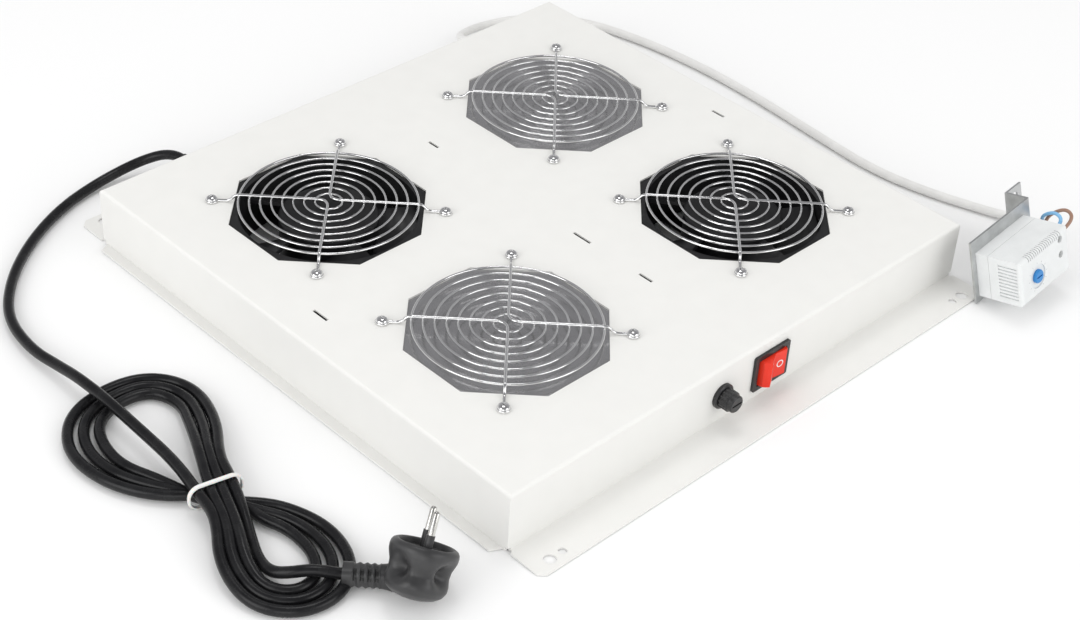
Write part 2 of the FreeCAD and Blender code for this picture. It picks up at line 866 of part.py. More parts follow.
def fan_shaft(place):
    """Shaft fixed in the hub, with the groove of its clip."""
    radius = size("shaft_radius")
    foot = arm_height + shaft_foot
    groove = radius - clip_groove
    return revolved_body(f"fan_shaft_{place}", [
        (0.0, foot), (radius, foot), (radius, clip_z), (groove, clip_z),
        (groove, clip_z + clip_height), (radius, clip_z + clip_height),
        (radius, hub_top - shaft_head), (0.0, hub_top - shaft_head)])


def shaft_clip(place):
    inner, outer = size("shaft_radius") - clip_groove, size("shaft_radius") + clip_reach
    return revolved_body(f"shaft_clip_{place}", [
        (inner, clip_z), (outer, clip_z), (outer, clip_z + clip_height),
        (inner, clip_z + clip_height)])


def fans():
    bottom = under_top - size("fan_depth")
    for place in FANNED:
        x, y = FAN_PLACES[place]
        for piece in (fan_frame, fan_rotor, stator_core, stator_windings, bearings, rotor_cage,
                      fan_shaft, shaft_clip):
            move(piece(place), x, y, bottom)


# ---------------------------------------------------------------------------------------------
# rocker switch in the front wall
# ---------------------------------------------------------------------------------------------

bezel_face = front - size("bezel_thickness")
pivot_y = bezel_face + 5.2
rocker_radius = mm(size("rocker_length")) / 2 + 0.6
bezel_rounding = 1.2
rocker_well = 13.0
pin_reach, pin_play = 0.8, 0.05
pin_stub = 0.7
valley_radius = 6.0
shoulder_radius, shoulder_angle = rocker_radius - 1.0, 14
foot_radius, foot_angle = 7.2, 52
end_low, end_high = 24, 46
switch_back = front + size("switch_depth")
switch_blade_x, switch_blade_z = 8.0, 5.5
blade_half, blade_half_thick, switch_blade_length = 3.1, 0.4, 8.0


def box_sketch(body, y, x, z, half_x, half_z):
    """A rectangle in a plane across Y, centred on x and z."""
    sketch = new_sketch(body, "XZ_Plane", -y)
    add_rectangle(sketch, x - half_x, z - half_z, x + half_x, z + half_z)
    return sketch


def switch_housing():
    body = new_body("switch_housing")
    x, z = size("switch_x"), size("switch_z")
    pad(body, box_sketch(body, front, x, z, bezel_length / 2, bezel_width / 2),
        size("bezel_thickness"))
    fillet(body, lambda a, b: abs(a.y - b.y) > 1.0, bezel_rounding)
    pad(body, box_sketch(body, front, x, z, switch_length / 2, switch_width / 2),
        size("switch_depth"), reverse=True)
    play = size("rocker_play")
    pocket(body, box_sketch(body, bezel_face, x, z, size("rocker_length") / 2 + play,
                            size("rocker_width") / 2 + play), rocker_well)
    reach = size("rocker_width") / 2 + play + pin_reach
    sketch = new_sketch(body, "XY_Plane", z - reach)
    add_circle(sketch, x, pivot_y, size("rocker_pin") + pin_play)
    pocket(body, sketch, reach * 2, reverse=True)


def rocker_point(radius, angle):
    """A point of the rocker's outline, by its radius and angle round the pin; 90 is outward."""
    turned = math.radians(angle + mm(size("rocker_tilt")))
    return Vector(-radius * math.cos(turned), -radius * math.sin(turned), 0)


def switch_rocker():
    """Paddle with round ends about its pin and a shallow valley, at rest with its left half out."""
    def round_end(first, last):
        angles = (first, (first + last) / 2, last)
        return Part.Arc(*[rocker_point(rocker_radius, angle) for angle in angles]).toShape()

    valley = rocker_point(valley_radius, 90)
    foot = [rocker_point(shoulder_radius, -shoulder_angle), rocker_point(foot_radius, -foot_angle),
            rocker_point(foot_radius, foot_angle - 180), rocker_point(shoulder_radius, shoulder_angle - 180)]
    far_low, far_high = 180 - end_low, 180 - end_high
    left, right = round_end(end_low, end_high), round_end(far_high, far_low)
    lines = [(rocker_point(rocker_radius, end_high), valley),
             (valley, rocker_point(rocker_radius, far_high)),
             (rocker_point(rocker_radius, far_low), foot[3]), (foot[3], foot[2]), (foot[2], foot[1]),
             (foot[1], foot[0]), (foot[0], rocker_point(rocker_radius, end_low))]
    edges = [left, right] + [Part.LineSegment(a, b).toShape() for a, b in lines]
    outline = Part.Wire(Part.__sortEdges__(edges))
    width = mm(size("rocker_width"))
    paddle = Part.Face(outline).extrude(Vector(0, 0, width))
    pin = Part.makeCylinder(mm(size("rocker_pin")), width + 2 * pin_stub, Vector(0, 0, -pin_stub))
    solid = paddle.fuse(pin).removeSplitter()
    place = Vector(mm(size("switch_x")), mm(pivot_y), mm(size("switch_z")) - width / 2)
    part_feature("switch_rocker", solid, Placement(place, Rotation()))


def switch_terminals():
    """Four blade terminals behind the housing."""
    body = new_body("switch_terminals")
    sketch = new_sketch(body, "XZ_Plane", -switch_back)
    for sx, sz in SIGNS:
        x, z = size("switch_x") + switch_blade_x * sx, size("switch_z") + switch_blade_z * sz
        add_rectangle(sketch, x - blade_half, z - blade_half_thick, x + blade_half, z + blade_half_thick)
    pad(body, sketch, switch_blade_length, reverse=True)


# ---------------------------------------------------------------------------------------------
# fuse holder beside it
# ---------------------------------------------------------------------------------------------

fuse_face = front - size("fuse_flange_thickness")
fuse_back = front + size("fuse_depth")
flange_chamfer, barrel_floor = 0.8, 3.0
holder_nut_flats, holder_nut_height = 16.0, 3.0
fuse_blade_half, fuse_blade_thick, fuse_blade_offset, fuse_blade_length = 2.4, 0.4, 3.4, 7.0
cap_play, cap_skirt = 0.3, 5.4
stem_reach, grip_play = 6.0, 0.05
flute_radius, flute_offset, flute_count = 0.9, 0.35, 14
coin_slot_half, coin_slot_half_width, coin_slot_depth = 4.0, 0.6, 1.3
link_front = front - 1.0
link_end, glass_step = 5.0, 0.25


def fuse_piece(label, profile):
    """A piece turned about the fuse holder's axis, which runs along Y."""
    body = revolved_body(label, profile, "XY_Plane", "Y_Axis")
    return move(body, x=size("fuse_x"), z=size("fuse_z"))


def fuse_holder():
    barrel, bore = size("fuse_barrel"), size("fuse_bore")
    fuse_piece("fuse_holder", [
        (bore, fuse_face), (size("fuse_flange") - flange_chamfer, fuse_face),
        (size("fuse_flange"), fuse_face + flange_chamfer),
        (size("fuse_flange"), front), (barrel, front), (barrel, fuse_back), (0.0, fuse_back),
        (0.0, fuse_back - barrel_floor), (bore, fuse_back - barrel_floor)])

    nut = new_body("fuse_holder_nut")
    sketch = new_sketch(nut, "XZ_Plane", -(front + steel))
    add_polygon(sketch, hexagon(Size.of(holder_nut_flats)))
    add_circle(sketch, 0.0, 0.0, barrel + size("thread_play"))
    pad(nut, sketch, holder_nut_height, reverse=True)
    move(nut, x=size("fuse_x"), z=size("fuse_z"))

    blades = new_body("fuse_terminals")
    sketch = new_sketch(blades, "XZ_Plane", -fuse_back)
    for side in (-1, 1):
        middle = fuse_blade_offset * side
        add_rectangle(sketch, -fuse_blade_half, middle - fuse_blade_thick, fuse_blade_half,
                      middle + fuse_blade_thick)
    pad(blades, sketch, fuse_blade_length, reverse=True)
    move(blades, x=size("fuse_x"), z=size("fuse_z"))


def fuse_cap():
    """Fluted bayonet cap, with a hollow stem that grips the fuse link."""
    radius = size("fuse_cap_radius")
    seat = fuse_face - cap_play
    tip = seat - size("fuse_cap_height")
    step = seat - cap_skirt
    grip = size("fuse_link_radius") + grip_play
    stem = size("fuse_bore") - cap_play
    cap = fuse_piece("fuse_cap", [
        (0.0, tip), (radius - 1.6, tip), (radius - 1.0, tip + 0.6), (radius - 0.9, step - 0.4),
        (radius, step), (radius, seat), (stem, seat), (stem, front + stem_reach),
        (grip, front + stem_reach), (grip, link_front), (0.0, link_front)])
    sketch = new_sketch(cap, "XZ_Plane", -seat)
    add_circle(sketch, radius + flute_offset, 0.0, flute_radius)
    flute = pocket(cap, sketch, seat - step, reverse=True)
    polar_pattern(cap, flute, flute_count, "Y_Axis")
    sketch = new_sketch(cap, "XZ_Plane", -tip)
    add_rectangle(sketch, -coin_slot_half, -coin_slot_half_width, coin_slot_half, coin_slot_half_width)
    pocket(cap, sketch, coin_slot_depth)


def fuse_link():
    """Glass fuse between two metal ends, gripped in the cap."""
    radius, length = size("fuse_link_radius"), size("fuse_link_length")
    glass = radius - glass_step
    link_back = link_front + length
    fuse_piece("fuse_link", [
        (0.0, link_front), (radius, link_front), (radius, link_front + link_end),
        (glass, link_front + link_end), (glass, link_back - link_end), (radius, link_back - link_end),
        (radius, link_back), (0.0, link_back)])


# ---------------------------------------------------------------------------------------------
# lead bushings in the rear wall, terminal block, earth stud and the wires between them
# ---------------------------------------------------------------------------------------------

bushing_nose = 22.0
grommet_nose = 14.0
inner_collar = 6.0
collar_wide, collar_narrow, collar_tip = 2.4, 1.2, 0.6
outer_collar = 2.4
nose_root, nose_wall = 0.4, 0.9


def bushing(label, x, z, neck, lead, nose):
    """Moulded bushing: a collar each side of the wall and a nose that tapers to the lead."""
    inside = rear - steel - inner_collar
    body = revolved_body(label, [
        (0.0, inside), (neck + collar_tip, inside), (neck + collar_narrow, rear - steel),
        (neck, rear - steel), (neck, rear), (neck + collar_wide, rear),
        (neck + collar_wide, rear + outer_collar), (neck + nose_root, rear + outer_collar + 0.2),
        (lead / 2 + nose_wall, rear + nose), (0.0, rear + nose)], "XY_Plane", "Y_Axis")
    move(body, x=x, z=z)


block_left = 5.0
block_front, block_rear = -92.0, -68.0
block_height = 13.0
block_bottom = under_top - block_height
block_ways = 5
way_pitch = 6.0
block_length = way_pitch * block_ways
way_radius, way_depth = 1.9, 7.0
way_screw_radius, way_screw_length, way_screw_sunk = 1.85, 5.0, 2.0


def terminal_block():
    """Five-way screw block, hung under the top between the fans."""
    body = new_body("terminal_block")
    sketch = new_sketch(body, offset=block_bottom)
    add_rectangle(sketch, block_left, block_front, block_left + block_length, block_rear)
    pad(body, sketch, block_height)
    screws = [(block_left + way_pitch * (index + 0.5), (block_front + block_rear) / 2)
              for index in range(block_ways)]
    sketch = new_sketch(body, offset=block_bottom)
    for x, y in screws:
        add_circle(sketch, x, y, way_radius)
    pocket(body, sketch, way_depth, reverse=True)

    group = new_body("terminal_screws")
    sketch = new_sketch(group, offset=block_bottom + way_screw_sunk)
    for x, y in screws:
        add_circle(sketch, x, y, way_screw_radius)
    pad(group, sketch, way_screw_length)


stud_x, stud_y = 60.0, front + 25.0
stud_radius = 2.0
stud_length = 12.0
stud_nut_drop = 6.0


def earth_stud():
    body = new_body("earth_stud")
    sketch = new_sketch(body, offset=under_top - stud_length)
    add_circle(sketch, stud_x, stud_y, stud_radius)
    pad(body, sketch, stud_length)
    nut = new_body("earth_nut")
    sketch = new_sketch(nut, offset=under_top - stud_nut_drop)
    add_polygon(sketch, [(x + stud_x, y + stud_y) for x, y in hexagon(size("nut_flats"))])
    add_circle(sketch, stud_x, stud_y, stud_radius + size("thread_play"))
    pad(nut, sketch, size("nut_height"))


def points_of(*triples):
    return [Vector(mm(x), mm(y), mm(z)) for x, y, z in triples]


def inner_wiring():
    """Leads under the top, each from one connection to the next."""
    wire = size("wire_diameter")
    deck = mm(block_bottom) + 6.2
    way, earth_way = mm(block_bottom) + 4.2, mm(block_bottom) + 2.2
    inside = rear - steel - inner_collar
    part_feature("mains_inner_lead", tube(points_of(
        (size("mains_exit_x"), inside, size("mains_exit_z")),
        (size("mains_exit_x"), inside - 20.0, size("mains_exit_z")), (-72.0, 148.0, 28.0),
        (-12.0, 140.0, deck - 1.0), (0.0, 90.0, deck), (2.0, 30.0, deck), (4.0, -16.0, deck),
        (11.0, -43.0, deck), (11.0, block_rear, deck)), size("mains_diameter"), "mains inner lead"))
    part_feature("thermostat_inner_lead", tube(points_of(
        (size("stat_exit_x"), inside, size("stat_exit_z")),
        (size("stat_exit_x"), inside - 20.0, size("stat_exit_z")), (92.0, 150.0, 26.0), (36.0, 148.0, 31.0),
        (16.0, 106.0, deck), (14.0, 50.0, deck), (15.0, -10.0, deck), (22.0, -43.0, deck),
        (22.0, block_rear, deck)), size("stat_diameter"), "thermostat inner lead"))
    reach = mm(size("fan_bore") + size("fan_wall")) + 0.2
    for place, angle, route in (
            ("front_right", 215.0, [(29.0, block_front, way), (29.0, block_front - 12.0, way)]),
            ("rear_left", -35.0, [(block_left, -80.0, way), (block_left - 18.0, -80.0, way),
                                  (-17.0, -50.0, 30.0), (-18.0, 0.0, 28.0)])):
        x, y = (mm(v) for v in FAN_PLACES[place])
        outward = Vector(math.cos(math.radians(angle)), math.sin(math.radians(angle)), 0)
        seat = Vector(x, y, 21.0) + outward * reach
        part_feature(f"fan_lead_{place}", tube(
            points_of(*route) + [seat + outward * 14.0, seat], 4.0, f"fan lead {place}"))
    part_feature("switch_lead", tube(points_of(
        (15.0, block_front, deck), (15.0, block_front - 20.0, deck),
        (size("switch_x"), block_front - 48.0, size("switch_z")),
        (size("switch_x"), switch_back, size("switch_z"))),
        5.0, "switch lead"))
    part_feature("fuse_lead", tube(points_of(
        (9.0, block_front, way), (9.0, block_front - 14.0, way), (-14.0, block_front - 34.0, 26.0),
        (size("fuse_x"), fuse_back + 16.0, size("fuse_z")),
        (size("fuse_x"), fuse_back, size("fuse_z"))), wire, "fuse lead"))
    part_feature("earth_wire", tube(points_of(
        (22.0, block_front, earth_way), (22.0, block_front - 16.0, earth_way),
        (34.0, block_front - 46.0, earth_way + 1.0), (46.0, stud_y + 4.0, deck - 1.0),
        (stud_x - mm(size("nut_flats")) / 2 - 0.8, stud_y, way + 4.0)), wire, "earth wire"))


# ---------------------------------------------------------------------------------------------
# thermostat on its bracket: built upright at the origin, its back on the plane y = 0, then
# leant back until the bracket stands on two corners of its lower edge
# ---------------------------------------------------------------------------------------------

bracket_left = -4.0
bracket_bottom = -4.0
base_depth = size("stat_base_depth")
case_back = -base_depth - 0.2
case_front = case_back - size("stat_case_depth")
bracket_screw_x = (14.0, 40.0)
bracket_screw_radius, bracket_head_radius, bracket_head_height = 1.5, 3.0, 1.8
bracket_screw_bite = 6.0
bracket_hole_radius, bracket_hole_inset = 3.3, 7.0
case_rounding = 2.5
side_slot_count, side_slot_first, side_slot_pitch, side_slot_width = 10, 4.0, 2.5, 1.1
side_slot_from, side_slot_to, side_slot_depth = 3.0, 17.0, 1.0
edge_slot_count, edge_slot_first, edge_slot_pitch, edge_slot_width = 18, 9.0, 2.1, 0.9
edge_slot_drop, edge_slot_depth = 3.4, 4.5
dial_x, dial_z = 18.2, 13.8
dish_radius, dish_depth = 8.2, 0.9
spindle_radius, spindle_length, spindle_hole_radius = 2.0, 5.0, 2.05
dial_play = 0.1
dial_rise, dial_chamfer = 2.2, 0.6
dial_slot_half, dial_slot_half_width, dial_slot_depth = 3.0, 0.5, 1.2
case_screw_radius, case_screw_hole_radius = 2.4, 2.45
case_screw_sunk, case_screw_length = 1.5, 5.0
case_hole_depth = 6.0
STAT_SCREWS = ((44.5, 27.0), (44.5, 16.0))
WIRE_ENTRIES = (-24.0, -18.5)
WIRE_ENTRY_Z = 22.0
wire_hole = size("wire_diameter") / 2 + 0.1
wire_hole_depth = 5.0
STAT_TILT = (2.2, -5.2, -14.5)


def bracket_outline():
    """The bent strip's outline seen from above: plate, web and foot."""
    gauge = size("bracket_steel")
    right = bracket_left + size("bracket_length")
    back = size("bracket_web")
    end = right + size("bracket_foot")
    return [(bracket_left, 0.0), (right, 0.0), (right, back - gauge), (end, back - gauge),
            (end, back), (right - gauge, back), (right - gauge, gauge), (bracket_left, gauge)]


def thermostat_placement():
    turn = Rotation(*STAT_TILT)
    low = min(turn.multVec(Vector(mm(x), mm(y), bracket_bottom)).z for x, y in bracket_outline())
    return Placement(Vector(mm(size("stat_x")), mm(front - size("stat_gap")), -low), turn)


def thermostat_bracket():
    body = new_body("thermostat_bracket")
    sketch = new_sketch(body, offset=bracket_bottom)
    add_polygon(sketch, bracket_outline())
    pad(body, sketch, size("bracket_height"))
    fillet(body, lambda a, b: abs(a.z - b.z) > 1.0 and abs(a.x - mm(bracket_outline()[1][0])) < 0.1
           and a.y < 0.5, 1.0)
    back = size("bracket_web")
    hole_x = bracket_left + size("bracket_length") + size("bracket_foot") / 2
    sketch = new_sketch(body, "XZ_Plane", -back)
    for z in (bracket_bottom + bracket_hole_inset,
              bracket_bottom + size("bracket_height") - bracket_hole_inset):
        add_circle(sketch, hole_x, z, bracket_hole_radius)
    pocket(body, sketch, size("bracket_steel"), reverse=True)
    sketch = new_sketch(body, "XZ_Plane", 0.0)
    for x in bracket_screw_x:
        add_circle(sketch, x, size("stat_height") / 2, bracket_screw_radius + size("screw_clearance"))
    pocket(body, sketch, size("bracket_steel"))
    return body


def bracket_screws():
    """Two screws through the plate into the thermostat's base."""
    body = new_body("bracket_screws")
    gauge = size("bracket_steel")
    sketch = new_sketch(body, "XZ_Plane", -gauge)
    for x in bracket_screw_x:
        add_circle(sketch, x, size("stat_height") / 2, bracket_head_radius)
    pad(body, sketch, bracket_head_height, reverse=True)
    sketch = new_sketch(body, "XZ_Plane", -gauge)
    for x in bracket_screw_x:
        add_circle(sketch, x, size("stat_height") / 2, bracket_screw_radius)
    pad(body, sketch, gauge + bracket_screw_bite)
    return body


def thermostat_base():
    body = new_body("thermostat_base")
    pad(body, box_sketch(body, 0.0, size("stat_length") / 2, size("stat_height") / 2,
                         size("stat_length") / 2, size("stat_height") / 2), base_depth)
    sketch = new_sketch(body, "XZ_Plane", 0.0)
    for x in bracket_screw_x:
        add_circle(sketch, x, size("stat_height") / 2, bracket_screw_radius + size("thread_play"))
    pocket(body, sketch, bracket_screw_bite + 0.5, reverse=True)
    return body


def thermostat_case():
    """Front shell with air slots on its left end and along its upper front edge."""
    body = new_body("thermostat_case")
    length, height = size("stat_length"), size("stat_height")
    pad(body, box_sketch(body, case_back, length / 2, height / 2, length / 2, height / 2),
        size("stat_case_depth"))
    face = mm(case_front)
    fillet(body, lambda a, b: abs(a.y - face) < 1e-6 and abs(b.y - face) < 1e-6, case_rounding)
    sketch = new_sketch(body, "YZ_Plane")
    for index in range(side_slot_count):
        z = side_slot_first + side_slot_pitch * index
        add_rectangle(sketch, case_front + side_slot_from, z, case_front + side_slot_to,
                      z + side_slot_width)
    pocket(body, sketch, side_slot_depth, reverse=True)
    sketch = new_sketch(body, "XZ_Plane", -case_front)
    for index in range(edge_slot_count):
        x = edge_slot_first + edge_slot_pitch * index
        add_rectangle(sketch, x, height - edge_slot_drop, x + edge_slot_width, height + 1.0)
    pocket(body, sketch, edge_slot_depth)
    sketch = new_sketch(body, "XZ_Plane", -case_front)
    add_circle(sketch, dial_x, dial_z, dish_radius)
    pocket(body, sketch, dish_depth)
    sketch = new_sketch(body, "XZ_Plane", -(case_front + dish_depth))
    add_circle(sketch, dial_x, dial_z, spindle_hole_radius)
    for x, z in STAT_SCREWS:
        add_circle(sketch, x, z, case_screw_hole_radius)
    pocket(body, sketch, case_hole_depth)
    sketch = new_sketch(body, "XZ_Plane", -case_front)
    for x, z in STAT_SCREWS:
        add_circle(sketch, x, z, case_screw_hole_radius)
    pocket(body, sketch, dish_depth + 0.1)
    sketch = new_sketch(body, "YZ_Plane", length)
    for y in WIRE_ENTRIES:
        add_circle(sketch, y, WIRE_ENTRY_Z, wire_hole)
    pocket(body, sketch, wire_hole_depth)
    return body


def thermostat_dial():
    """Knob with a screwdriver slot, turning on its spindle in the case."""
    body = new_body("thermostat_dial")
    radius = size("dial_radius")
    floor = case_front + dish_depth - dial_play
    face, end = floor - dial_rise, floor + spindle_length
    revolve(body, [(0.0, face), (radius - dial_chamfer, face), (radius, face + dial_chamfer),
                   (radius, floor), (spindle_radius, floor), (spindle_radius, end), (0.0, end)],
            "XY_Plane", "Y_Axis")
    sketch = new_sketch(body, "XZ_Plane", -face)
    add_rectangle(sketch, -dial_slot_half, -dial_slot_half_width, dial_slot_half, dial_slot_half_width)
    pocket(body, sketch, dial_slot_depth)
    return body


def thermostat_screws():
    body = new_body("thermostat_screws")
    sketch = new_sketch(body, "XZ_Plane", -(case_front + case_screw_sunk))
    for x, z in STAT_SCREWS:
        add_circle(sketch, x, z, case_screw_radius)
    pad(body, sketch, case_screw_length, reverse=True)
    return body


def thermostat():
    place = thermostat_placement()
    for piece in (thermostat_bracket, bracket_screws, thermostat_base, thermostat_case,
                  thermostat_screws):
        piece().Placement = place
    spindle = Placement(Vector(dial_x, 0, dial_z), Rotation())
    thermostat_dial().Placement = place.multiply(spindle)
    centre = place.multVec(Vector(dial_x, mm(case_front), dial_z))
    axis = place.Rotation.multVec(Vector(0, -1, 0))
    print("dial", [round(v, 3) for v in centre], "axis", [round(v, 5) for v in axis])
    return place


# Middle points of the two conductors' loops, brown and then blue.
WIRE_LOOPS = (((260.5, -220.0, 38.0), (262.5, -228.5, 45.5), (261.5, -235.5, 43.5)),
              ((258.0, -216.5, 36.5), (257.5, -224.0, 42.5), (256.5, -230.5, 41.5)))

# Points of the thermostat lead from its bushing's nose to its stripped end.
STAT_ROUTE = [(140.0, 205.0, 16.0), (140.0, 225.0, 16.0), (152.0, 246.0, 8.0), (184.0, 254.0, 3.3),
              (222.0, 239.0, 3.2), (248.0, 200.0, 3.2), (262.0, 150.0, 3.2), (268.0, 94.0, 3.2),
              (267.0, 36.0, 3.2), (261.5, -24.0, 3.2), (257.0, -80.0, 3.2), (264.0, -122.0, 3.2),
              (276.0, -160.0, 3.2), (285.0, -184.0, 4.0), (283.0, -203.0, 8.0), (275.0, -212.0, 15.0),
              (266.5, -214.0, 24.0)]
conductor_half_gap = 1.25
conductor_out, conductor_in = 11.5, 2.0


def thermostat_leads(place):
    """White lead from the rear wall round the right side, and its two conductors at the end."""
    sheath = size("stat_diameter")
    part_feature("thermostat_cable", tube(points_of(*STAT_ROUTE), sheath, "thermostat cable"))
    end = Vector(*STAT_ROUTE[-1])
    heading = end - Vector(*STAT_ROUTE[-2])
    heading.normalize()
    out = place.Rotation.multVec(Vector(1, 0, 0))
    side = Vector(-heading.y, heading.x, 0)
    side.normalize()
    for label, y, lateral, middle in zip(("thermostat_wire_brown", "thermostat_wire_blue"), WIRE_ENTRIES,
                                         (conductor_half_gap, -conductor_half_gap), WIRE_LOOPS):
        start = end + side * lateral
        entry = place.multVec(Vector(mm(size("stat_length")), y, WIRE_ENTRY_Z))
        part_feature(label, tube([start, start + heading * 7.0] + points_of(*middle)
                                 + [entry + out * conductor_out, entry - out * conductor_in],
                                 size("wire_diameter"), label))


# ---------------------------------------------------------------------------------------------
# mains lead, its tied hank and its plug, lying on the floor at the left
# ---------------------------------------------------------------------------------------------

# Points of the mains lead from its bushing's nose to the hank.
MAINS_ROUTE = [(-120.0, 213.0, 20.0), (-120.0, 229.0, 20.0), (-134.0, 250.0, 11.0),
               (-166.0, 257.0, 3.8), (-204.0, 246.0, 3.6), (-243.0, 224.0, 3.6), (-274.0, 194.0, 3.6),
               (-293.0, 158.0, 3.6), (-300.0, 121.0, 5.0), (-298.0, 92.0, 8.0), (-298.0, 66.0, 8.0)]

# Outline of the hank's two lobes, from its waist round and back.
HANK_OUTLINE = [(-309.0, -56.0), (-336.0, -18.0), (-339.0, 36.0), (-314.0, 66.0), (-268.0, 66.0),
                (-240.0, 46.0), (-247.0, -2.0), (-281.0, -56.0), (-266.0, -84.0), (-262.0, -116.0),
                (-273.0, -141.3), (-293.0, -160.7), (-314.0, -165.0), (-336.0, -140.0), (-334.0, -98.0)]
waist_x = -295.0
waist_y = -56.0
waist_half = 12.5
waist_low = 1.6


def rounded_outline(points):
    """A closed outline of straight runs joined by tangent arcs, in the floor plane."""
    count = len(points)
    corners = []
    for index in range(count):
        before, corner, after = points[index - 1], points[index], points[(index + 1) % count]
        into, away = corner - before, after - corner
        turn = into.getAngle(away)
        setback = 0.45 * min(into.Length, away.Length)
        into.normalize()
        away.normalize()
        radius = setback / math.tan(turn / 2)
        first, last = corner - into * setback, corner + away * setback
        bisector = away - into
        bisector.normalize()
        centre = corner + bisector * (radius / math.cos(turn / 2))
        corners.append((first, centre - bisector * radius, last))
    edges = []
    for index, (first, middle, last) in enumerate(corners):
        edges.append(Part.Arc(first, middle, last).toShape())
        following = corners[(index + 1) % count][0]
        edges.append(Part.LineSegment(last, following).toShape())
    return Part.Wire(edges)


def rounded_bar(half_x, half_y, low, high, radius):
    """A bar across the hank's waist, lying along Y with rounded edges."""
    bar = Part.makeBox(2 * half_x, 2 * half_y, high - low,
                       Vector(waist_x - half_x, waist_y - half_y, low))
    long_edges = [e for e in bar.Edges if abs(e.tangentAt(e.FirstParameter).y) > 0.9]
    return bar.makeFillet(radius, long_edges)


def hank_and_tie():
    """The folded turns as one flat solid, pinched at the waist by a tie in a groove."""
    tall = mm(size("hank_height"))
    play = 0.3
    thickness, half_tie = mm(size("tie_thickness")), mm(size("tie_width")) / 2
    low, high = waist_low, tall - waist_low
    face = Part.Face(rounded_outline([Vector(x, y, 0) for x, y in HANK_OUTLINE]))
    around = Part.makeBox(80.0, 2 * (half_tie + play), tall + 2.0,
                          Vector(waist_x - 40.0, waist_y - half_tie - play, -1.0))
    groove = around.cut(rounded_bar(waist_half, 10.0, low, high, 2.5))
    part_feature("mains_cord_hank", face.extrude(Vector(0, 0, tall)).cut(groove))
    outer = rounded_bar(waist_half + play + thickness, half_tie, low - play - thickness,
                        high + play + thickness, 4.0)
    inner = rounded_bar(waist_half + play, 10.0, low - play, high + play, 2.8)
    part_feature("cord_tie", outer.cut(inner))


PLUG_HEADING = Vector(0.692, -0.722, 0)
PLUG_LEAN = 14.0
RELIEF_START = Vector(-282.95, -151.0, 0)
RELIEF_RIBS = 5
plug_depth = 30.0
floor_gap = 0.05
face_edge = 1.0
grip_end = 8.0
waist_depth, waist_inset = 13.0, 3.5
swell_depth, swell_inset = 19.0, 2.5
dome_depth, dome_inset = 25.0, 4.0
dome_end_inset = 9.0
relief_axis_z = 8.0
relief_length = 25.0
relief_tip_radius, relief_root_radius = 4.6, 5.4
rib_radius, rib_width, rib_pitch, first_rib = 6.3, 2.6, 4.9, 1.5
outlet_length, outlet_in_shell = 5.5, 12.0
outlet_radius, outlet_root_radius = 6.0, 7.6
pin_sleeve = 6.5
sleeve_wall = 0.5


def plug():
    """Moulded plug leaning on its domed back, its pins up, with a level ribbed cord outlet."""
    radius = mm(size("plug_radius"))
    profile = [(0, 0), (radius - face_edge, 0), (radius, -face_edge), (radius, -grip_end),
               (radius - waist_inset, -waist_depth), (radius - swell_inset, -swell_depth),
               (radius - dome_inset, -dome_depth), (radius - dome_end_inset, -plug_depth),
               (0, -plug_depth)]
    face = Part.Face(Part.makePolygon([Vector(x, 0, z) for x, z in profile + profile[:1]]))
    lean = Placement(Vector(), Rotation(Vector(0, 1, 0), PLUG_LEAN))
    shell = face.revolve(Vector(), Vector(0, 0, 1), 360).transformed(lean.toMatrix())
    lift = floor_gap - shell.BoundBox.ZMin
    outlet_z = relief_axis_z - lift
    dome_side = lean.multVec(Vector(dome_inset - radius, 0, -dome_depth)).x
    relief_end = dome_side - outlet_length
    along = Vector(1, 0, 0)
    outlet = Part.makeCone(outlet_radius, outlet_root_radius, outlet_length + outlet_in_shell,
                           Vector(relief_end, 0, outlet_z), along)
    relief_tip = relief_end - relief_length
    relief = Part.makeCone(relief_tip_radius, relief_root_radius, relief_length,
                           Vector(relief_tip, 0, outlet_z), along)
    ribs = [Part.makeCylinder(rib_radius, rib_width,
                              Vector(relief_tip + first_rib + rib_pitch * k, 0, outlet_z), along)
            for k in range(RELIEF_RIBS)]
    turn = Rotation(Vector(0, 0, 1), math.degrees(math.atan2(PLUG_HEADING.y, PLUG_HEADING.x)))
    centre = RELIEF_START - PLUG_HEADING * relief_tip
    place = Placement(Vector(centre.x, centre.y, lift), turn)
    part_feature("plug_body", shell.multiFuse([outlet, relief] + ribs).removeSplitter(), place)
    half = mm(size("pin_spacing")) / 2
    pin_radius = mm(size("pin_radius"))
    length = mm(size("pin_length"))
    pins = []
    for y in (-half, half):
        pin = Part.makeCylinder(pin_radius, pin_sleeve, Vector(0, y, 0))
        tip = Part.makeCylinder(pin_radius - sleeve_wall, length - pin_sleeve, Vector(0, y, pin_sleeve))
        pins.append(pin.fuse(tip))
    part_feature("plug_pins", Part.makeCompound(pins), place.multiply(lean))


tray_chassis()
for blank_place in BLANKED:
    blanking_plate(blank_place)
guards()
fans()
switch_housing()
switch_rocker()
switch_terminals()
fuse_holder()
fuse_cap()
fuse_link()
bushing("mains_bushing", size("mains_exit_x"), size("mains_exit_z"), bushing_neck,
        size("mains_diameter"), bushing_nose)
bushing("thermostat_bushing", size("stat_exit_x"), size("stat_exit_z"), grommet_neck,
        size("stat_diameter"), grommet_nose)
terminal_block()
earth_stud()
inner_wiring()
thermostat_leads(thermostat())
part_feature("mains_cord", tube(points_of(*MAINS_ROUTE), size("mains_diameter"), "mains cord"))
hank_and_tie()
plug()

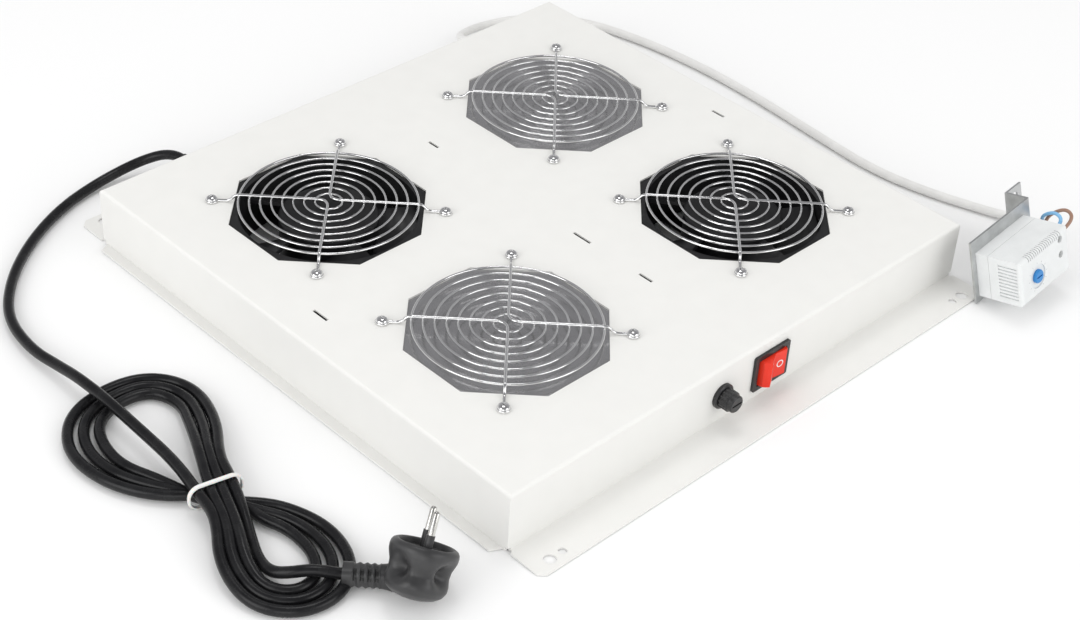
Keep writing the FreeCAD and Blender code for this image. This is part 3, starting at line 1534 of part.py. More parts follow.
doc.recompute()
failed = []
for obj in doc.Objects:
    if "Invalid" in obj.State or "Error" in obj.State:
        failed.append(obj.Label)
for label, node in NODES.items():
    if node.Shape.isNull() or not node.Shape.isValid() or not node.Shape.Solids:
        failed.append(label)
if failed:
    raise RuntimeError("failed: " + ", ".join(sorted(set(failed))))

os.makedirs("parts", exist_ok=True)
for label, node in NODES.items():
    node.Shape.exportStep(f"parts/{label}.step")
print(len(NODES), "nodes,", sum(len(node.Shape.Solids) for node in NODES.values()), "solids")
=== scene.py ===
"""Looks of the rack fan tray: materials, round-wire guards, cords and small visible detail."""
import math

import bpy
import bmesh
from mathutils import Matrix, Vector


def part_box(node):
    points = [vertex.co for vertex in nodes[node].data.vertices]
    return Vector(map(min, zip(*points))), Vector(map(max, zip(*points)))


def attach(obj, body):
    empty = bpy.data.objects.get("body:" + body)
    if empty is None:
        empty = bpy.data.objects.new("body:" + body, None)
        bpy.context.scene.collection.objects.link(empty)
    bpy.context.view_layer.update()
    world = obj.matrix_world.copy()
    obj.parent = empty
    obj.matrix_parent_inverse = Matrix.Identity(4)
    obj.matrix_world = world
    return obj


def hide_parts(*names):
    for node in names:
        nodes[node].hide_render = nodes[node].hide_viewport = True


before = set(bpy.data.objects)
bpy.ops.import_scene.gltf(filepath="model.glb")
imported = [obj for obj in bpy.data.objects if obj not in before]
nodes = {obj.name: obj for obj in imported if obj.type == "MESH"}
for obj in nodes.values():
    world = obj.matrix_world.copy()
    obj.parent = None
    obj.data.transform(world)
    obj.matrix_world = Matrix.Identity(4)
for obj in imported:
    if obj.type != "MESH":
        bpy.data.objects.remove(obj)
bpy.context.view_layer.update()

MM = 0.001
UP = Vector((0, 0, 1))
X_AXIS, Y_AXIS = Vector((1, 0, 0)), Vector((0, 1, 0))
CENTRES = ("front_left", "front_right", "rear_left", "rear_right")


def at(x, y, z):
    """A point given in millimetres, in metres."""
    return Vector((x * MM, y * MM, z * MM))


def box_centre(node):
    low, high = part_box(node)
    return (Vector(low) + Vector(high)) / 2


# ---------------------------------------------------------------------------------------------
# camera, floor and light
# ---------------------------------------------------------------------------------------------

ELEVATION = math.radians(36.963)
HEADING = math.radians(43.811)
ROLL = math.radians(3.675)
CAMERA_PLACE = (-778.98, -759.22, 777.43)
SENSOR_WIDTH, FOCAL_LENGTH = 36.0, 68.19
CLIP_START, CLIP_END = 0.05, 20.0
# Half the floor's side, and how far it lies under the object so that they share no plane; metres.
FLOOR_REACH, FLOOR_DROP = 6.0, 0.0004
FILL_STRENGTH = 0.84
# What metal sees of the room, by height: place on the ramp and colour, the two ends first.
ROOM_STOPS = ((0.02, (0.90, 0.90, 0.90)), (0.9, (0.26, 0.26, 0.27)), (0.30, (0.42, 0.42, 0.43)))
# Name, place and size in metres, power in watts.
LAMPS = (("top_softbox", (0.25, 0.35, 2.0), (0.6, 0.5), 5.0),
         ("left_softbox", (-2.0, 0.1, 1.0), (1.2, 1.4), 13.0),
         ("right_softbox", (0.5, -2.0, 1.1), (1.4, 1.2), 11.0),
         ("front_softbox", (-1.6, -1.2, 0.7), (1.0, 0.8), 4.5))


def make_camera():
    """Camera above the front left corner, looking down over the tray."""
    data = bpy.data.cameras.new("camera")
    data.sensor_width = SENSOR_WIDTH
    data.lens = FOCAL_LENGTH
    data.clip_start = CLIP_START
    data.clip_end = CLIP_END
    camera = bpy.data.objects.new("camera", data)
    bpy.context.scene.collection.objects.link(camera)
    forward = Vector((math.cos(ELEVATION) * math.cos(HEADING),
                      math.cos(ELEVATION) * math.sin(HEADING), -math.sin(ELEVATION)))
    turned = forward.to_track_quat("-Z", "Y").to_matrix() @ Matrix.Rotation(ROLL, 3, "Z")
    camera.matrix_world = Matrix.Translation(at(*CAMERA_PLACE)) @ turned.to_4x4()
    bpy.context.scene.camera = camera


def add_floor():
    """Pale matt floor that shows white where nothing shades it."""
    mesh = bpy.data.meshes.new("floor")
    corners = [(x * FLOOR_REACH, y * FLOOR_REACH, 0)
               for x, y in ((-1, -1), (1, -1), (1, 1), (-1, 1))]
    mesh.from_pydata(corners, [], [(0, 1, 2, 3)])
    floor = bpy.data.objects.new("floor", mesh)
    floor.location.z = -FLOOR_DROP
    bpy.context.scene.collection.objects.link(floor)
    material, _, shader = new_material("floor")
    set_inputs(shader, {"Base Color": (0.87, 0.87, 0.87, 1.0), "Roughness": 0.9,
                        "Specular IOR Level": 0.1})
    mesh.materials.append(material)


def add_lamp(name, place, size, power):
    """A soft lamp that faces the object."""
    data = bpy.data.lights.new(name, "AREA")
    data.shape = "RECTANGLE"
    data.size, data.size_y = size
    data.energy = power
    lamp = bpy.data.objects.new(name, data)
    bpy.context.scene.collection.objects.link(lamp)
    lamp.location = place
    lamp.rotation_euler = (-Vector(place)).to_track_quat("-Z", "Y").to_euler()


def add_light():
    """Soft studio light from above and the sides, and a world that metal sees as a dim room."""
    world = bpy.data.worlds.new("studio")
    bpy.context.scene.world = world
    world.use_nodes = True
    tree = world.node_tree
    tree.nodes.clear()
    out = tree.nodes.new("ShaderNodeOutputWorld")
    mix = tree.nodes.new("ShaderNodeMixShader")
    path = tree.nodes.new("ShaderNodeLightPath")
    fill = tree.nodes.new("ShaderNodeBackground")
    set_inputs(fill, {"Color": (1.0, 1.0, 1.0, 1.0), "Strength": FILL_STRENGTH})
    room = tree.nodes.new("ShaderNodeBackground")
    coords = tree.nodes.new("ShaderNodeTexCoord")
    split = tree.nodes.new("ShaderNodeSeparateXYZ")
    ramp = colour_ramp(tree, ROOM_STOPS)
    tree.links.new(coords.outputs["Generated"], split.inputs[0])
    tree.links.new(split.outputs["Z"], ramp.inputs["Fac"])
    tree.links.new(ramp.outputs["Color"], room.inputs["Color"])
    tree.links.new(path.outputs["Is Glossy Ray"], mix.inputs["Fac"])
    tree.links.new(fill.outputs[0], mix.inputs[1])
    tree.links.new(room.outputs[0], mix.inputs[2])
    tree.links.new(mix.outputs[0], out.inputs["Surface"])
    for lamp in LAMPS:
        add_lamp(*lamp)


# ---------------------------------------------------------------------------------------------
# materials
# ---------------------------------------------------------------------------------------------

# Noise seldom leaves these values.
NOISE_LOW, NOISE_HIGH = 0.3, 0.7
BUMP_STRENGTH = 0.5
COARSER = 20.0


def new_material(name):
    material = bpy.data.materials.new(name)
    material.use_nodes = True
    tree = material.node_tree
    return material, tree, tree.nodes["Principled BSDF"]


def set_inputs(node, values):
    for name, value in values.items():
        node.inputs[name].default_value = value


def colour_ramp(tree, stops):
    """A colour ramp through the given places and colours, whose first two are the ends."""
    ramp = tree.nodes.new("ShaderNodeValToRGB")
    elements = ramp.color_ramp.elements
    for index, (place, colour) in enumerate(stops):
        stop = elements[index] if index < 2 else elements.new(place)
        stop.position = place
        stop.color = (*colour, 1)
    return ramp


def noise(tree, scale, detail):
    """Noise in the object's own metres."""
    coords = tree.nodes.new("ShaderNodeTexCoord")
    node = tree.nodes.new("ShaderNodeTexNoise")
    set_inputs(node, {"Scale": scale, "Detail": detail})
    tree.links.new(coords.outputs["Object"], node.inputs["Vector"])
    return node


def vary(tree, shader, socket, source, low, high):
    """The socket runs from low to high as the source goes through its middle values."""
    spread = tree.nodes.new("ShaderNodeMapRange")
    set_inputs(spread, {"From Min": NOISE_LOW, "From Max": NOISE_HIGH, "To Min": low,
                        "To Max": high})
    tree.links.new(source.outputs["Fac"], spread.inputs["Value"])
    tree.links.new(spread.outputs["Result"], shader.inputs[socket])


def tint(tree, shader, source, dark, light):
    """The base colour runs from dark to light as the source goes through its middle values."""
    ramp = colour_ramp(tree, ((NOISE_LOW, dark), (NOISE_HIGH, light)))
    tree.links.new(source.outputs["Fac"], ramp.inputs["Fac"])
    tree.links.new(ramp.outputs["Color"], shader.inputs["Base Color"])


def bump(tree, shader, source, distance):
    node = tree.nodes.new("ShaderNodeBump")
    set_inputs(node, {"Strength": BUMP_STRENGTH, "Distance": distance})
    tree.links.new(source.outputs["Fac"], node.inputs["Height"])
    tree.links.new(node.outputs["Normal"], shader.inputs["Normal"])


def surface(name, dark, light, roughness, grain, height=0.0, metallic=0.0, extra=None, scale=None):
    """A material whose colour and roughness drift slightly, with a fine bump of the given grain."""
    material, tree, shader = new_material(name)
    set_inputs(shader, {"Metallic": metallic, **(extra or {})})
    drift = noise(tree, scale or grain / COARSER, 4.0)
    tint(tree, shader, drift, dark, light)
    vary(tree, shader, "Roughness", drift, *roughness)
    if height:
        bump(tree, shader, noise(tree, grain, 2.0), height)
    return material


PAINT = surface("powder_coat", (0.772, 0.768, 0.745), (0.785, 0.781, 0.758), (0.48, 0.56),
                1400.0, 0.00005)
CHROME = surface("guard_chrome", (0.80, 0.80, 0.80), (0.86, 0.86, 0.86), (0.07, 0.12), 900.0,
                 metallic=1.0)
ZINC = surface("bright_zinc", (0.62, 0.62, 0.62), (0.76, 0.76, 0.75), (0.16, 0.26), 1500.0, 0.00001,
               metallic=1.0)
GALVANISED = surface("galvanised_steel", (0.50, 0.51, 0.51), (0.64, 0.65, 0.65), (0.34, 0.48),
                     900.0, 0.00001, metallic=1.0, scale=120.0)
PLATE = surface("blanking_plate", (0.44, 0.438, 0.445), (0.48, 0.478, 0.485), (0.17, 0.23), 1200.0,
                0.00001, metallic=0.85, scale=40.0)
DULL = {"Specular IOR Level": 0.28}
BLACK_METAL = surface("fan_black_metal", (0.012, 0.012, 0.013), (0.020, 0.020, 0.021), (0.38, 0.52),
                      1600.0, 0.00003, extra=DULL)
BLACK_PLASTIC = surface("black_plastic", (0.014, 0.014, 0.015), (0.026, 0.026, 0.027), (0.30, 0.42),
                        1800.0, 0.00002)
ROTOR = surface("fan_black_plastic", (0.010, 0.010, 0.011), (0.018, 0.018, 0.019), (0.28, 0.40),
                1500.0, 0.00001, extra=DULL)
CORD_BLACK = surface("cord_black", (0.007, 0.007, 0.008), (0.014, 0.014, 0.015), (0.22, 0.30),
                     2200.0, 0.00002, extra=DULL)
CORD_WHITE = surface("cord_white", (0.72, 0.715, 0.70), (0.78, 0.775, 0.76), (0.38, 0.48), 2000.0,
                     0.00001)
CREAM = surface("thermostat_plastic", (0.72, 0.735, 0.735), (0.77, 0.785, 0.785), (0.40, 0.50),
                1800.0, 0.00002)
RED = surface("red_rocker", (0.74, 0.030, 0.014), (0.80, 0.040, 0.018), (0.26, 0.34), 500.0,
              extra={"Specular IOR Level": 0.3})
BLUE = surface("blue_dial", (0.02, 0.20, 0.52), (0.03, 0.25, 0.62), (0.26, 0.34), 900.0)
BRASS = surface("brass", (0.62, 0.48, 0.24), (0.74, 0.60, 0.34), (0.20, 0.34), 1200.0, metallic=1.0)
NICKEL = surface("nickel", (0.62, 0.61, 0.58), (0.74, 0.73, 0.70), (0.14, 0.26), 1200.0,
                 metallic=1.0)
CORE = surface("core_steel", (0.28, 0.28, 0.29), (0.38, 0.38, 0.39), (0.30, 0.44), 1400.0, 0.00001,
               metallic=1.0)
COPPER = surface("winding_copper", (0.48, 0.17, 0.07), (0.62, 0.26, 0.12), (0.26, 0.36), 2600.0,
                 0.00004, metallic=0.9)
GREEN = surface("earth_green", (0.20, 0.42, 0.05), (0.26, 0.50, 0.08), (0.36, 0.46), 900.0)
BROWN = surface("wire_brown", (0.30, 0.17, 0.12), (0.35, 0.21, 0.15), (0.34, 0.44), 900.0)
LIGHT_BLUE = surface("wire_blue", (0.20, 0.46, 0.74), (0.25, 0.52, 0.80), (0.34, 0.44), 900.0)
TIE = surface("tie_nylon", (0.72, 0.72, 0.70), (0.78, 0.78, 0.76), (0.30, 0.40), 900.0,
              extra={"Subsurface Weight": 0.2, "Subsurface Scale": 0.001})
GLASS = surface("fuse_glass", (0.80, 0.84, 0.84), (0.84, 0.88, 0.88), (0.04, 0.08), 900.0,
                extra={"Transmission Weight": 0.7})
PLUG_RUBBER = surface("plug_rubber", (0.026, 0.026, 0.027), (0.042, 0.042, 0.043), (0.34, 0.44),
                      1600.0, 0.00003)
MARK_WHITE = surface("mark_white", (0.78, 0.77, 0.76), (0.82, 0.81, 0.80), (0.40, 0.50), 900.0)
MARK_GREY = surface("mark_grey", (0.36, 0.37, 0.38), (0.42, 0.43, 0.44), (0.40, 0.50), 900.0)
BLOCK = surface("block_plastic", (0.62, 0.60, 0.54), (0.68, 0.66, 0.60), (0.40, 0.50), 1500.0)

NODE_MATERIALS = {
    PAINT: ("tray_chassis",),
    PLATE: ("blanking_plate",),
    ZINC: ("guard_screws", "guard_nuts", "terminal_screws", "earth_stud", "earth_nut",
           "bracket_screws", "thermostat_screws"),
    GALVANISED: ("thermostat_bracket",),
    CHROME: ("finger_guard",),
    BLACK_METAL: ("fan_frame",),
    ROTOR: ("fan_rotor",),
    CORE: ("stator_core", "rotor_cage", "fan_bearings", "fan_shaft", "shaft_clip"),
    COPPER: ("stator_windings",),
    BLACK_PLASTIC: ("switch_housing", "fuse_holder", "fuse_cap", "mains_bushing", "plug_body"),
    CORD_BLACK: ("mains_inner_lead", "fan_lead", "switch_lead", "fuse_lead", "mains_cord"),
    CORD_WHITE: ("thermostat_inner_lead", "thermostat_bushing", "thermostat_cable"),
    RED: ("switch_rocker",),
    BRASS: ("switch_terminals", "fuse_terminals"),
    NICKEL: ("plug_pins",),
    GLASS: ("fuse_link",),
    BLOCK: ("terminal_block",),
    GREEN: ("earth_wire",),
    CREAM: ("thermostat_case", "thermostat_base"),
    BLUE: ("thermostat_dial",),
    BROWN: ("thermostat_wire_brown",),
    LIGHT_BLUE: ("thermostat_wire_blue",),
    TIE: ("cord_tie",),
}


def dress_nodes():
    """Each CAD node takes the material of the longest name that its own name starts with."""
    for name, node in nodes.items():
        best, chosen = "", None
        for material, starts in NODE_MATERIALS.items():
            for start in starts:
                if name.startswith(start) and len(start) > len(best):
                    best, chosen = start, material
        if chosen is None:
            raise ValueError(f"no material for {name}")
        if not node.material_slots:
            node.data.materials.append(chosen)
        for held in node.material_slots:
            held.material = chosen


# ---------------------------------------------------------------------------------------------
# making pieces
# ---------------------------------------------------------------------------------------------

BEND_STEPS = 6


def add_mesh(name, mesh_data, material, body="tray", smooth=None):
    """A piece from a bmesh, riding on a body; smooth is the largest angle shaded round."""
    mesh = bpy.data.meshes.new(name)
    mesh_data.to_mesh(mesh)
    mesh_data.free()
    piece = bpy.data.objects.new(name, mesh)
    bpy.context.scene.collection.objects.link(piece)
    mesh.materials.append(material)
    if smooth:
        mesh.shade_smooth()
        mesh.set_sharp_from_angle(angle=math.radians(smooth))
    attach(piece, body)
    return piece


def spline_object(name, points, radius, material):
    """A round cord on one smooth open spline, whose control points are given in metres."""
    data = bpy.data.curves.new(name, "CURVE")
    data.dimensions = "3D"
    data.bevel_depth = radius
    data.bevel_resolution = 5
    data.resolution_u = 8
    data.use_fill_caps = True
    line = data.splines.new("NURBS")
    line.points.add(len(points) - 1)
    for point, place in zip(line.points, points):
        point.co = (*place, 1.0)
    line.order_u = 3
    line.use_endpoint_u = True
    piece = bpy.data.objects.new(name, data)
    bpy.context.scene.collection.objects.link(piece)
    data.materials.append(material)
    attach(piece, "tray")
    return piece


def circle(centre, across, up, radius, sides):
    """Points round a circle, which starts along one unit vector and turns to the other."""
    turns = (2 * math.pi * k / sides for k in range(sides))
    return [centre + across * (radius * math.cos(turn)) + up * (radius * math.sin(turn))
            for turn in turns]


def new_ring(bm, points, scale=1.0):
    return [bm.verts.new(point * scale) for point in points]


def skin(bm, rings, closed=False):
    """Quads from ring to ring; the last joins the first if closed, or else both are filled."""
    for first, second in zip(rings, rings[1:] + (rings[:1] if closed else [])):
        for k in range(len(first)):
            after = (k + 1) % len(first)
            bm.faces.new((first[k], first[after], second[after], second[k]))
    if not closed:
        bm.faces.new(list(reversed(rings[0])))
        bm.faces.new(rings[-1])


def turn_outward(bm):
    bmesh.ops.recalc_face_normals(bm, faces=bm.faces)


def sweep(bm, points, radius, sides, closed=False):
    """A round tube along points, added to a bmesh, with its frame carried along the path."""
    count = len(points)
    rings = []
    normal = None
    for index, point in enumerate(points):
        after = points[(index + 1) % count] if closed or index < count - 1 else point
        before = points[index - 1] if closed or index else point
        tangent = (after - before).normalized()
        if normal is None:
            normal = tangent.cross(UP if abs(tangent.z) < 0.9 else X_AXIS).normalized()
        normal = (normal - tangent * normal.dot(tangent)).normalized()
        rings.append(new_ring(bm, circle(point, normal, tangent.cross(normal), radius, sides)))
    skin(bm, rings, closed)


def rounded_path(corners, radius):
    """The corners joined by straight runs, with each inner corner rounded."""
    path = [corners[0]]
    for before, corner, after in zip(corners, corners[1:], corners[2:]):
        into, away = (corner - before), (after - corner)
        reach = min(radius, 0.45 * into.length, 0.45 * away.length)
        start, end = corner - into.normalized() * reach, corner + away.normalized() * reach
        for k in range(BEND_STEPS + 1):
            t = k / BEND_STEPS
            path.append(start * (1 - t) ** 2 + corner * 2 * t * (1 - t) + end * t ** 2)
    path.append(corners[-1])
    return path


# ---------------------------------------------------------------------------------------------
# finger guards of round wire, and their screws
# ---------------------------------------------------------------------------------------------

RING_RADII = [8.7 + 6.9 * index for index in range(8)]
# Radii of the wires, and how far the rings are pressed into the spokes.
RING_WIRE, SPOKE_WIRE, RING_SINK = 0.8, 1.0, 0.25
# Steps round a ring, and round one whose radius is over WIDE_RING.
RING_STEPS, WIDE_RING_STEPS, WIDE_RING = 48, 72, 30
EYE_STEPS, EYE_RADIUS = 28, 3.3
WIRE_SIDES, SPOKE_SIDES = 10, 12
SCREW_HALF = 52.5
# The spokes step down this far outside the last ring, over this run, with this bend.
STEP_OUT, STEP_RUN, STEP_BEND = 2.2, 4.0, 3.5
# Each spoke turns round the middle between these two distances from it.
HUB_REACH, HUB_SIDE = 6.2, 1.8

# Pan head of a guard screw, from its middle out: radius and height.
HEAD_PROFILE = [(0.25, 1.35), (0.5, 1.34), (0.75, 1.32), (1.0, 1.30), (1.3, 1.26), (1.6, 1.2),
                (1.9, 1.12), (2.2, 1.02), (2.6, 0.84), (3.0, 0.58), (3.4, 0.2), (3.7, -0.25),
                (3.8, -0.7)]
HEAD_SIDES = 48
RECESS_ARM, RECESS_HALF, RECESS_DEPTH = 1.75, 0.36, 1.0
SHANK_RADIUS = 2.0
# The profile's zero height lies this far over the wire of the screw's eye.
HEAD_OVER_WIRE = 0.7


def guard(place):
    """Eight rings under two bent spokes; each spoke joins two screws past the centre."""
    node = f"finger_guard_{place}"
    low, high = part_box(node)
    middle = box_centre(node)
    origin = Vector((middle.x, middle.y, 0))
    foot_z = low[2] + SPOKE_WIRE * MM
    spoke_z = high[2] - SPOKE_WIRE * MM
    ring_z = spoke_z - (SPOKE_WIRE + RING_WIRE - RING_SINK) * MM
    bm = bmesh.new()
    for radius in RING_RADII:
        steps = WIDE_RING_STEPS if radius > WIDE_RING else RING_STEPS
        line = circle(origin + UP * ring_z, X_AXIS, Y_AXIS, radius * MM, steps)
        sweep(bm, line, RING_WIRE * MM, WIRE_SIDES, closed=True)
    eye = SCREW_HALF * math.sqrt(2) * MM
    bend = (RING_RADII[-1] + STEP_OUT) * MM
    arm = [Vector((eye - EYE_RADIUS * MM, 0, foot_z)), Vector((bend + STEP_RUN * MM, 0, foot_z)),
           Vector((bend, 0, spoke_z)), Vector((HUB_REACH * MM, 0, spoke_z))]
    turn_point = Vector((HUB_SIDE * MM, HUB_SIDE * MM, spoke_z))
    other = [Vector((0, point.x, point.z)) for point in reversed(arm)]
    path = rounded_path(arm + [turn_point] + other, STEP_BEND * MM)
    for turn in (-45, 135):
        spin = Matrix.Rotation(math.radians(turn), 3, "Z")
        sweep(bm, [origin + spin @ point for point in path], SPOKE_WIRE * MM, SPOKE_SIDES)
        for axis in (X_AXIS, Y_AXIS):
            screw = origin + spin @ (axis * eye) + UP * foot_z
            line = circle(screw, X_AXIS, Y_AXIS, EYE_RADIUS * MM, EYE_STEPS)
            sweep(bm, line, SPOKE_WIRE * MM, WIRE_SIDES, closed=True)
    piece = add_mesh(f"guard_wire_{place}", bm, CHROME, smooth=60)
    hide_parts(node)


def screw_head(bm, place, base):
    """One pan head with a cross recess, and its shank down to the given height, in metres."""
    rings = []
    for radius, height in HEAD_PROFILE:
        ring = circle(UP * height, X_AXIS, Y_AXIS, radius, HEAD_SIDES)
        for point in ring:
            x, y = abs(point.x), abs(point.y)
            if (x < RECESS_HALF and y < RECESS_ARM) or (y < RECESS_HALF and x < RECESS_ARM):
                point.z -= RECESS_DEPTH
        rings.append([bm.verts.new(place + point * MM) for point in ring])
    for z in (place.z + HEAD_PROFILE[-1][1] * MM, base):
        middle = Vector((place.x, place.y, z))
        rings.append(new_ring(bm, circle(middle, X_AXIS, Y_AXIS, SHANK_RADIUS * MM, HEAD_SIDES)))
    skin(bm, rings)


def guard_screw_heads():
    """The sixteen screws of the four guards, each in its wire eye."""
    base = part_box("guard_screws")[0][2]
    bm = bmesh.new()
    for place in CENTRES:
        node = f"finger_guard_{place}"
        middle = box_centre(node)
        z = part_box(node)[0][2] + (2 * SPOKE_WIRE + HEAD_OVER_WIRE) * MM
        for x in (-SCREW_HALF, SCREW_HALF):
            for y in (-SCREW_HALF, SCREW_HALF):
                screw_head(bm, Vector((middle.x + x * MM, middle.y + y * MM, z)), base)
    turn_outward(bm)
    heads = add_mesh("guard_screw_heads", bm, CHROME, smooth=40)
    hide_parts("guard_screws")


# ---------------------------------------------------------------------------------------------
# marks
# ---------------------------------------------------------------------------------------------

MARK_CENTRE = Vector((20.53, -194.3, 20.5))
MARK_NORMAL = Vector((-0.136, -0.991, 0.0))
MARK_SIDES = 40
# The ring's section: radius, and height over the rocker's face.
MARK_SECTION = ((1.9, -0.05), (1.9, 0.06), (2.6, 0.06), (2.6, -0.05))

DIAL_CENTRE = Vector((208.15, -248.846, 27.827))
DIAL_LOCAL = Vector((18.2, -33.2, 13.8))
STAT_TURN = (Matrix.Rotation(math.radians(2.2), 3, "Z")
             @ Matrix.Rotation(math.radians(-5.2), 3, "Y")
             @ Matrix.Rotation(math.radians(-14.5), 3, "X"))
TICKS = 11
TICK_START, TICK_SWEEP = -60, 300
TICK_FROM, TICK_TO, TICK_HALF_WIDTH = 9.1, 10.1, 0.16
TICK_TOP, TICK_BOTTOM = 0.03, -0.04
BOX_FACES = ((0, 1, 2, 3), (7, 6, 5, 4), (0, 4, 5, 1), (1, 5, 6, 2), (2, 6, 7, 3), (3, 7, 4, 0))


def on_thermostat(x, y, z):
    """A point of the upright thermostat, as it stands leaning on the floor, in millimetres."""
    return DIAL_CENTRE + STAT_TURN @ (Vector((x, y, z)) - DIAL_LOCAL)


def rocker_mark():
    """Printed off ring on the rocker's pressed half."""
    out = MARK_NORMAL.normalized()
    across = UP.cross(out)
    bm = bmesh.new()
    rings = [new_ring(bm, circle(MARK_CENTRE + out * lift, across, UP, radius, MARK_SIDES), MM)
             for radius, lift in MARK_SECTION]
    skin(bm, rings, closed=True)
    turn_outward(bm)
    ring = add_mesh("rocker_off_mark", bm, MARK_WHITE, body="rocker", smooth=50)


def dial_ticks():
    """Faint printed ticks round the dial's dish."""
    bm = bmesh.new()
    for k in range(TICKS):
        turn = math.radians(TICK_START + TICK_SWEEP * k / (TICKS - 1))
        ray = Vector((math.cos(turn), 0, math.sin(turn)))
        side = Vector((-ray.z, 0, ray.x)) * TICK_HALF_WIDTH
        outline = (ray * TICK_FROM - side, ray * TICK_TO - side,
                   ray * TICK_TO + side, ray * TICK_FROM + side)
        corners = [bm.verts.new(on_thermostat(*(DIAL_LOCAL + point - Y_AXIS * lift)) * MM)
                   for lift in (TICK_TOP, TICK_BOTTOM) for point in outline]
        for face in BOX_FACES:
            bm.faces.new([corners[i] for i in face])
    turn_outward(bm)
    ticks = add_mesh("dial_ticks", bm, MARK_GREY)


# ---------------------------------------------------------------------------------------------
# mains lead
# ---------------------------------------------------------------------------------------------

MAINS_RADIUS = 3.4
MAINS_ROUTE = [(-120.0, 213.0, 20.0), (-120.0, 225.0, 20.0), (-134.0, 242.0, 11.0),
               (-166.0, 247.0, 3.8), (-203.0, 237.0, 3.6), (-240.0, 216.0, 3.6),
               (-271.0, 189.0, 3.6), (-293.0, 158.0, 3.6), (-300.0, 121.0, 5.0),
               (-298.0, 92.0, 8.0)]
OVER_UPPER_LOBE = [(-298, 74, 11.6), (-297, 48, 11.8), (-297.5, 12, 11.0), (-299, -24, 11.5)]
# Turns of the hank: how far apart, and the height of their middle on the floor and at the waist.
TURNS = 3
PITCH = 7.2
LYING = 3.6
WAIST = (-295.0, -56.0)
WAIST_LOW, WAIST_HIGH = 4.8, 11.9
WAIST_ENTRY = -10.5
# Outer loop of each lobe, left side first, from the waist round to the waist.
UPPER_LOOP = [(-317, -38), (-334, -8), (-336, 28), (-318, 55), (-288, 63), (-260, 56), (-246, 30),
              (-257, -6), (-278, -36)]
LOWER_LOOP = [(-309, -76), (-328, -103), (-332, -134), (-316, -156), (-291, -160), (-270, -145),
              (-262, -116), (-270, -88), (-283, -72)]
UPPER_MIDDLE = (-290.0, 10.0)
LOWER_MIDDLE = (-297.0, -118.0)
# How much further apart than touching the turns lie, round each lobe.
UPPER_FAN = (0, 1, 3, 2, 0.5, 0, 1.0, 0.5, 0)
LOWER_FAN = (0, 0, 0.5, 1, 2, 3, 2, 1, 0)
# A turn goes in at most this share of the way to the lobe's middle, and is down after two points.
MOST_INWARD, POINTS_DOWN = 0.8, 2.0
# The last strand: down the inside of the lower lobe, over the turns and into the plug's relief.
LAST_STRAND = [(-292, -76, 9.5), (-301, -95, 5.5), (-308, -111, 4.2), (-309.5, -124, 6.2),
               (-304.5, -133, 9.4), (-297, -139.5, 11.4), (-289.5, -146, 10.4)]
IN_RELIEF = (-1.0, 9.0)
PLUG_HEADING = Vector((0.692, -0.722, 0.0))
RELIEF_TIP = Vector((-282.95, -151.0, 8.0))


def lobe(loop, middle, fan, inward, heights):
    """Control points of one turn round a lobe, moved in by whole pitches; heights at both ends."""
    points = []
    last = len(loop) - 1
    for index, ((x, y), spread) in enumerate(zip(loop, fan)):
        towards = Vector((middle[0] - x, middle[1] - y))
        shift = min(inward * (PITCH + spread), towards.length * MOST_INWARD)
        towards = towards.normalized() * shift
        end = heights[0] if index < last / 2 else heights[1]
        lift = max(0.0, 1 - min(index, last - index) / POINTS_DOWN)
        points.append((x + towards.x, y + towards.y, LYING + (end - LYING) * lift))
    return points


def waist_point(offset, z):
    return (WAIST[0] + offset, WAIST[1], z)


def mains_points():
    """The route, over the upper lobe to the waist, then the figure-eight turns and the plug."""
    points = MAINS_ROUTE + OVER_UPPER_LOBE + [waist_point(WAIST_ENTRY, WAIST_HIGH)]
    for turn in range(TURNS):
        points += lobe(LOWER_LOOP, LOWER_MIDDLE, LOWER_FAN, turn, (WAIST_HIGH, WAIST_LOW))
        points.append(waist_point((1 - turn) * -PITCH, WAIST_LOW))
        points += lobe(UPPER_LOOP, UPPER_MIDDLE, UPPER_FAN, TURNS - 1 - turn,
                       (WAIST_LOW, WAIST_HIGH))
        points.append(waist_point((turn - 0.5) * PITCH, WAIST_HIGH))
    points += LAST_STRAND
    return points + [tuple(RELIEF_TIP + PLUG_HEADING * reach) for reach in IN_RELIEF]


# ---------------------------------------------------------------------------------------------
# plug
# ---------------------------------------------------------------------------------------------

PLUG_LEAN, PLUG_TILT = 14.0, 35.0
PLUG_MIDDLE = Vector((-258.0, -183.8, 0.0))
PLUG_CLEARANCE = 0.4
# The shell: depth under its face and radius there.
PLUG_PROFILE = [(0.0, 16.2), (0.8, 17.8), (2.2, 18.7), (4.0, 19.0), (6.5, 18.9), (9.0, 18.2),
                (12.0, 17.2), (16.0, 16.8), (20.0, 17.4), (23.0, 17.2), (26.0, 15.4),
                (28.2, 12.0), (29.5, 7.5), (30.0, 0.6)]
SHELL_DEPTHS = [0.0, 0.3, 0.8, 1.4, 2.2, 3.0] + [4.0 + 0.75 * k for k in range(30)] + [
    26.5, 27.3, 28.2, 29.0, 29.5, 29.85, 30.0]
# The face is a shallow dish: radius and depth of its rings, from the rim in.
FACE_DISH = ((15.2, 0.2), (14.6, 1.2), (14.2, 3.2), (0.5, 3.4))
